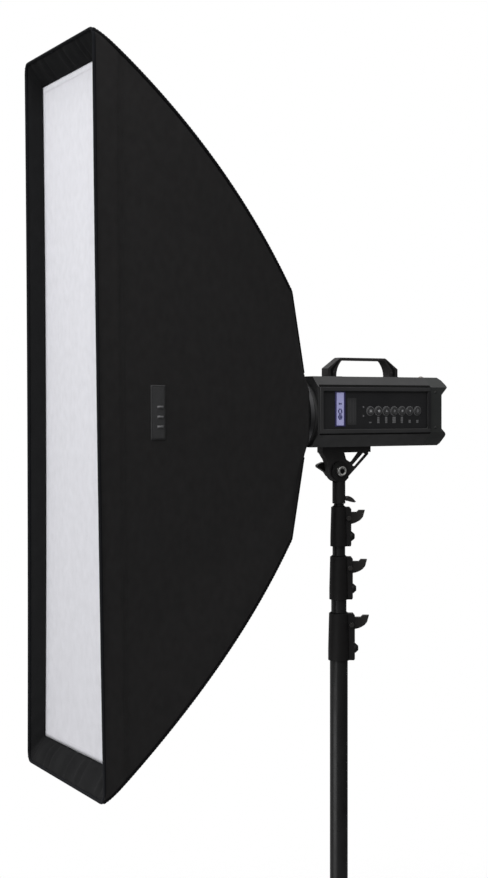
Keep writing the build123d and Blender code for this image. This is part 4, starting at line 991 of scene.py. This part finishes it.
def ribs_around(centre, axis, radius, count, length, size):
    """Ring of small grip ribs."""
    parts = []
    for outward in outwards(axis, count):
        frame = Matrix((axis, outward, axis.cross(outward))).transposed()
        parts.append(block(centre + outward * radius, (length, size, size), frame))
    return parts


def make_rear_trim():
    """Screws, sync socket with painted shade in its hole, fuse cap and the switch's marks."""
    face = span("rear_panel")[1].x
    guard_x = (span("rear_guard")[1].x + HEAD_HIGH.x) / 2 - 0.008
    rear, guard = product(SIGNS, (0.038, -0.030)), product(SIGNS, (0.044, -0.026))
    screws = [screw_head(at(face, side * 0.050, z), X, 0.0030) for side, z in rear]
    screws += [screw_head(at(guard_x, side * 0.0660, z), Y * side, 0.0024) for side, z in guard]
    rigid("head_screws", screws, "bright_steel", "screw")
    socket, cap = at(face, 0.0, -0.022), at(face, 0.0, -0.045)
    rigid("sync_ring", [washer(socket, X, 0.0034, 0.0062, 0.0016)], "bright_steel", "steel")
    # A dark disc paints the shade inside the sync socket's hole.
    rigid("sync_hole_shade", [disc(socket, X, 0.0036, 0.0004, 24)], "panel_black", "painted_shade")
    profile = [(0.0, 0.0075), (0.0060, 0.0072), (0.0072, 0.0062)]
    profile += [(0.0072, 0.0020), (0.0062, 0.0018), (0.0062, 0.0)]
    ridges = ribs_around(cap + X * 0.0033, X, 0.0073, 20, 0.0050, 0.0008)
    rigid("fuse_cap", [lathe(profile, cap, X, 32)] + ridges, "inlet_black", "inlet")
    marks = [washer(at(face, 0.026, -0.037), X, 0.0012, 0.0019, PRINT)]
    marks.append(block(at(face, 0.026, -0.003), (0.0003, 0.0008, 0.0036)))
    rigid("switch_marks", marks, "panel_black", "mark")


def make_handle_trim():
    """The handle's screw caps, dark plates that paint the shade in its grooves, and pads."""
    low, high, middle = span("handle")
    foot, reach, wide = low.z - AXIS_Z, (high.x - low.x) / 2, high.y - low.y
    caps = []
    for side, way in CORNERS:
        place = at(middle.x + side * (reach - 0.015), middle.y + way * wide / 2, foot + 0.008)
        caps.append(disc(place, Y * way, 0.0032, 0.0005))
    rigid("handle_caps", caps, "handle_black", "handle")
    groove = ((71, 1.5), (76.5, 1.5), (77, 15), (60, 31.5), (55, 34), (58.5, 29.5), (70.5, 14))  # mm
    # Dark plates along the legs' outlines on both faces: painted groove shade.
    grooves = [
        plate([(middle.x + side * x / 1000, foot + z / 1000) for x, z in groove], *faces)
        for side, faces in product(SIGNS, ((low.y - 0.0002, 0.0006), (high.y + 0.0002, -0.0006)))
    ]
    rigid("handle_groove_shade", grooves, "handle_black", "painted_shade")
    places = [at(middle.x + side * (reach - 0.0155), middle.y, foot + 0.0006) for side in SIGNS]
    pads = [block(place, (0.0345, wide + 0.003, 0.0012)) for place in places]
    rigid("handle_pads", pads, "handle_black", "panel", edge=0.0005)


# ======== stand trim
CLAMPS = (  # size, tube that leaves it, body of its bush, reach of its lever's wing, its shift
    ("lower", "second_tube", "stand", 0.0610, 0.0261),
    ("middle", "third_tube", "second_section", 0.0570, 0.0239),
    ("upper", "top_tube", "third_section", 0.0525, 0.0219),
)
# a bush's profile: distance along its tube, distance off it
BUSH = [(-0.001, 0.0029), (0.0006, 0.0029), (0.0016, 0.0022)]
BUSH += [(0.0024, 0.0009), (0.0024, 0.0003), (-0.001, 0.0003)]
FOOT_CIRCLE, FOOT_AXIS_Z, LEG_SLOPE = 0.574, 0.018, (0.8159, 0, -0.5782)
KNOB_TURN, KNOB_END, KNOB_Z = radians(60), 0.0513, 0.400
LEVER_TURN = radians(-30)


def make_tube_rings():
    """Plastic bush where each tube leaves its clamp, in the near-black painted-shade finish that keeps its lit
    top dark.
    """
    for size, tube_name, body, _, _ in CLAMPS:
        low, high, _ = span(tube_name)
        profile = [(along, (high.x - low.x) / 2 + out) for along, out in BUSH]
        ring = lathe(profile, UP * span(f"{size}_clamp")[1].z, UP, 56, hoop=True)
        # The bush is painted darker than its plastic, as shade against the top light.
        rigid(f"{size}_clamp_bush", [ring], "lever_black", "painted_shade", body)


def make_lever_grips():
    """Ribs across the outer edge of each clamp lever's wing."""
    turn = Matrix.Rotation(LEVER_TURN, 3, "Z")
    for size, _, _, reach, shift in CLAMPS:
        top = span(f"{size}_clamp_lever")[1].z - 0.0020
        parts = []
        for share in steps(0, 1, 5):
            place = Vector((reach - 0.0009 - 0.0031 * share, shift, top - 0.0110 * share))
            parts.append(block(turn @ place, (0.0020, 0.0076, 0.0010), turn))
        rigid(f"{size}_lever_ribs", parts, "lever_black", "lever", f"{size}_lever", 0.0003)


def make_bolt_trim():
    """The tilt bolt's rim, a dark hexagon that paints the shade in its recess, its nut cap, and the cap on the
    leg lock's knob.
    """
    low, high, middle = span("tilt_bolt")
    head, end = Vector((middle.x, low.y, middle.z)), Vector((middle.x, high.y, middle.z))
    profile = [(-0.0004, 0.0058), (0.0008, 0.0062), (0.0013, 0.0078), (0.0008, 0.0092), (-0.0010, 0.0098)]
    # The short dark hexagonal block paints the shade in the bolt's hex recess.
    rim, recess = lathe(profile, head, -Y, hoop=True), lathe([(-0.0002, 0.0056), (0.0003, 0.0056)], head, -Y, 6)
    rigid("tilt_bolt_rim", [rim], "bright_steel", "steel", "bracket")
    rigid("tilt_bolt_recess_shade", [recess], "bright_steel", "painted_shade", "bracket")
    rigid("tilt_nut_cap", [disc(end, Y, 0.0042, 0.0009, 24)], "bright_steel", "screw", "bracket")
    outward = Matrix.Rotation(KNOB_TURN, 3, "Z") @ X
    knob = outward * KNOB_END + UP * KNOB_Z
    cap = [washer(knob, outward, 0.0050, 0.0088, 0.0009), disc(knob, outward, 0.0040, 0.0005)]
    rigid("knob_cap", cap, "lever_black", "lever", "hub_knob")


def make_boot_bands():
    """Three raised bands round each rubber foot."""
    loop = rounded_loop(0.0119, 0.0149, 0.0012, 0.004)
    for number, azimuth in enumerate(turns(3), 1):
        turn = Matrix.Rotation(azimuth, 3, "Z")
        ahead, level = turn @ Vector(LEG_SLOPE), turn @ Y
        square = ahead.cross(level)
        ankle = turn @ Vector((FOOT_CIRCLE, 0, FOOT_AXIS_Z))
        parts, reaches = [], [level * a + square * b for a, b in loop]
        frames = [(reach.normalized(), ahead) for reach in reaches]
        for back in (0.040, 0.034, 0.028):
            path = [ankle - ahead * back + reach for reach in reaches]
            parts.append(swept(path, frames, ring_section(0.0010, 6), closed=True))
        rigid(f"boot_bands_{number}", parts, "foot_rubber", "rubber", f"leg_{number}_body")


def make_pockets():
    """Webbing sleeves on the rods' tips in the front corners."""
    parts = []
    low, high, _ = span("corner_pockets")
    start = along_at_depth(low.x - BOX_LOW.x)
    sections = [section_edge(start + step * 0.0045) for step in range(9)]
    _, first_high, first_edge, _ = sections[0]
    inset_y, inset_z = high.y - 0.0043 - first_edge, (high.z - low.z) / 2 - 0.0043 - first_high
    for side, end in CORNERS:
        path = [in_box(depth, side * (y + inset_y), end * (z + inset_z)) for depth, z, y, _ in sections]
        frames = path_frames(path, (0, side, end))

        def sleeve(index, turn):
            mouth = 0.0034 * smooth(index / 5)
            first, second = frames[index]
            out, across = first * ((0.0012 + mouth) * cos(turn)), second * ((0.0085 - mouth) * sin(turn))
            return path[index] + out + across

        parts.append(lattice(range(len(path)), turns(16), sleeve, closed=True))
    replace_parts(sewn("rod_pockets", parts, "webbing_black", "webbing", thick=0.0009), "corner_pockets")


def settle_front(cover_pieces):
    """The front leans and rises a little, and its long sides bow inward.

    The lip's inner edge and what lies near it rise by another amount; the cover's pieces don't.
    """
    for index, piece in enumerate(SOFT_PIECES):
        reach = 0.0 if index < cover_pieces else 1.0
        for vertex in piece.data.vertices:
            place = vertex.co
            depth = place.x - BOX_LOW.x
            level, across = (place.z - AXIS_Z) / FRONT_Z, place.y / FRONT_Y
            lean = 0.00365 - 0.00165 * across - (0.0065 - 0.00355 * across) * level
            rim = smooth((abs(level) - 0.93) / 0.07)
            outer = 0.0062 + 0.0016 * across if level > 0 else 0.0031 * across - 0.0016
            inner = 0.0062 if level > 0 else 0.0078 - 0.0009 * across
            shallow = reach * (1 - smooth((depth - 0.034) / 0.030))
            lift = (outer + (inner - outer) * (1 - rim) * shallow) * abs(level)
            near_front = max(0.0, 1 - max(0.0, depth - 0.032) / 0.27) ** 2
            draw = (0.0045 + 0.0015 * across) * across * max(0.0, 1 - level * level)
            spread = 0.0060 * max(0.0, across) * min(1.0, level * level) * (1 - smooth((across - 0.88) / 0.12))
            place.x += lean * max(0.0, 1 - depth / 0.30) ** 2
            place.y += (spread - draw) * near_front
            place.z += lift * near_front


# ======== stage
LIGHTS = (  # name, place, target, size, power, kinds of surface that it reaches
    ("top light", (-0.95, -0.43, 7.5), (-0.1, 0, 1.3), (5.5, 5.5), 247, "glossy matt"),
    ("front light", (-3.6, -1.2, 2.9), (-0.3, 0, 1.7), (2.0, 2.4), 90, "glossy matt"),
    ("side light", (-0.9, -1.55, 2.95), (-0.3, 0, 2.15), (1.0, 1.0), 16, "glossy matt"),
    ("low light", (-1.15, -0.12, 0.60), (0, 0, 0.60), (0.9, 1.1), 7.5, "glossy"),
    ("rear light", (1.4, 3.0, 2.6), (0, 0, 1.3), (2.2, 2.2), 45, "matt"),
)


def aimed(name, data, place, direction):
    made = placed(name, data, place)
    made.rotation_euler = Vector(direction).to_track_quat("-Z", "Y").to_euler()
    return made


def make_camera():
    """The photograph's view: level, from the near side."""
    data = bpy.data.cameras.new("camera")
    data.sensor_width, data.lens, data.shift_y, data.clip_end = 36, 57.4, -0.0387, 60
    place = (-1.5325, -2.2913, AXIS_Z + 0.019)
    bpy.context.scene.camera = aimed("camera", data, place, (0.4985, 0.8669, 0))


def make_lights():
    for name, place, target, size, power, reached in LIGHTS:
        data = bpy.data.lights.new(name, "AREA")
        data.shape, data.energy = "RECTANGLE", power
        data.size, data.size_y = size
        light = aimed(name, data, place, Vector(target) - Vector(place))
        light.visible_camera = False
        light.visible_glossy, light.visible_diffuse = "glossy" in reached, "matt" in reached


def make_world():
    """White surround for the camera, graded reflections, a softer level as light."""
    world = bpy.data.worlds.new("studio")
    bpy.context.scene.world = world
    world.use_nodes = True
    graph = Graph(world.node_tree)
    rays = graph.node("LightPath")
    direction = graph.node("TexCoord")["Generated"]
    bright_side = {0: direction, 1: (-0.35, 0.20, 0.92)}
    towards = graph.node("VectorMath", bright_side, operation="DOT_PRODUCT")["Value"]
    glossy = graph.math("MULTIPLY", rays["Is Glossy Ray"], graph.ramp(towards, 0.03, 0.90, -0.60, 0.90))
    height = graph.node("SeparateXYZ", {0: direction})["Z"]
    diffuse = graph.math("MULTIPLY", rays["Is Diffuse Ray"], graph.ramp(height, 0.05, 0.47, -1.0, 1.0))
    shown = graph.math("MAXIMUM", graph.seen(rays), glossy)
    background = world.node_tree.nodes["Background"].inputs
    background["Color"].default_value = (1, 1, 1, 1)
    graph.tree.links.new(graph.math("MAXIMUM", shown, diffuse), background["Strength"])


def make_floor():
    """Pale floor that keeps the shadow near the object and fades out."""
    circle = [Vector(place).to_3d() for place in ring_section(9.0, 96)]
    floor = placed("floor", joined("floor", [(circle, [tuple(range(len(circle)))])]))
    material = bpy.data.materials.new("pale floor")
    material.use_nodes = True
    material.node_tree.nodes.clear()
    graph = Graph(material.node_tree)
    seen = graph.seen(graph.node("LightPath"))
    matt = graph.node("BsdfDiffuse", {"Color": (0.86, 0.86, 0.87, 1)})[0]
    bright = graph.node("Emission", {"Strength": graph.ramp(seen, 0.14, 1.0, 0.0, 1.0)})[0]
    paled = graph.node("MixShader", {0: graph.ramp(seen, 0.62, 0.60, 0.0, 1.0), 1: matt, 2: bright})[0]
    place = graph.node("TexCoord")["Object"]
    reach = graph.node("VectorMath", {0: place}, operation="LENGTH")["Value"]
    fade = graph.ramp(reach, 0.0, 1.0, 0.8, 1.7, interpolation_type="SMOOTHSTEP")
    clear = graph.node("BsdfTransparent")[0]
    graph.node("OutputMaterial", {0: graph.node("MixShader", {0: fade, 1: paled, 2: clear})[0]})
    floor.data.materials.append(material)


MATERIAL = make_materials()
bpy.context.scene.view_settings.view_transform = "Standard"
for make in (make_camera, make_world, make_floor, make_lights, dress_nodes, make_cover):
    make()
cover_pieces = len(SOFT_PIECES)
for make in (make_front, make_diffuser, make_baffle, make_pockets):
    make()
settle_front(cover_pieces)
for make in (make_panel_frame, make_display, make_panel_print, make_rear_trim, make_handle_trim):
    make()
for make in (make_tube_rings, make_lever_grips, make_bolt_trim, make_boot_bands):
    make()
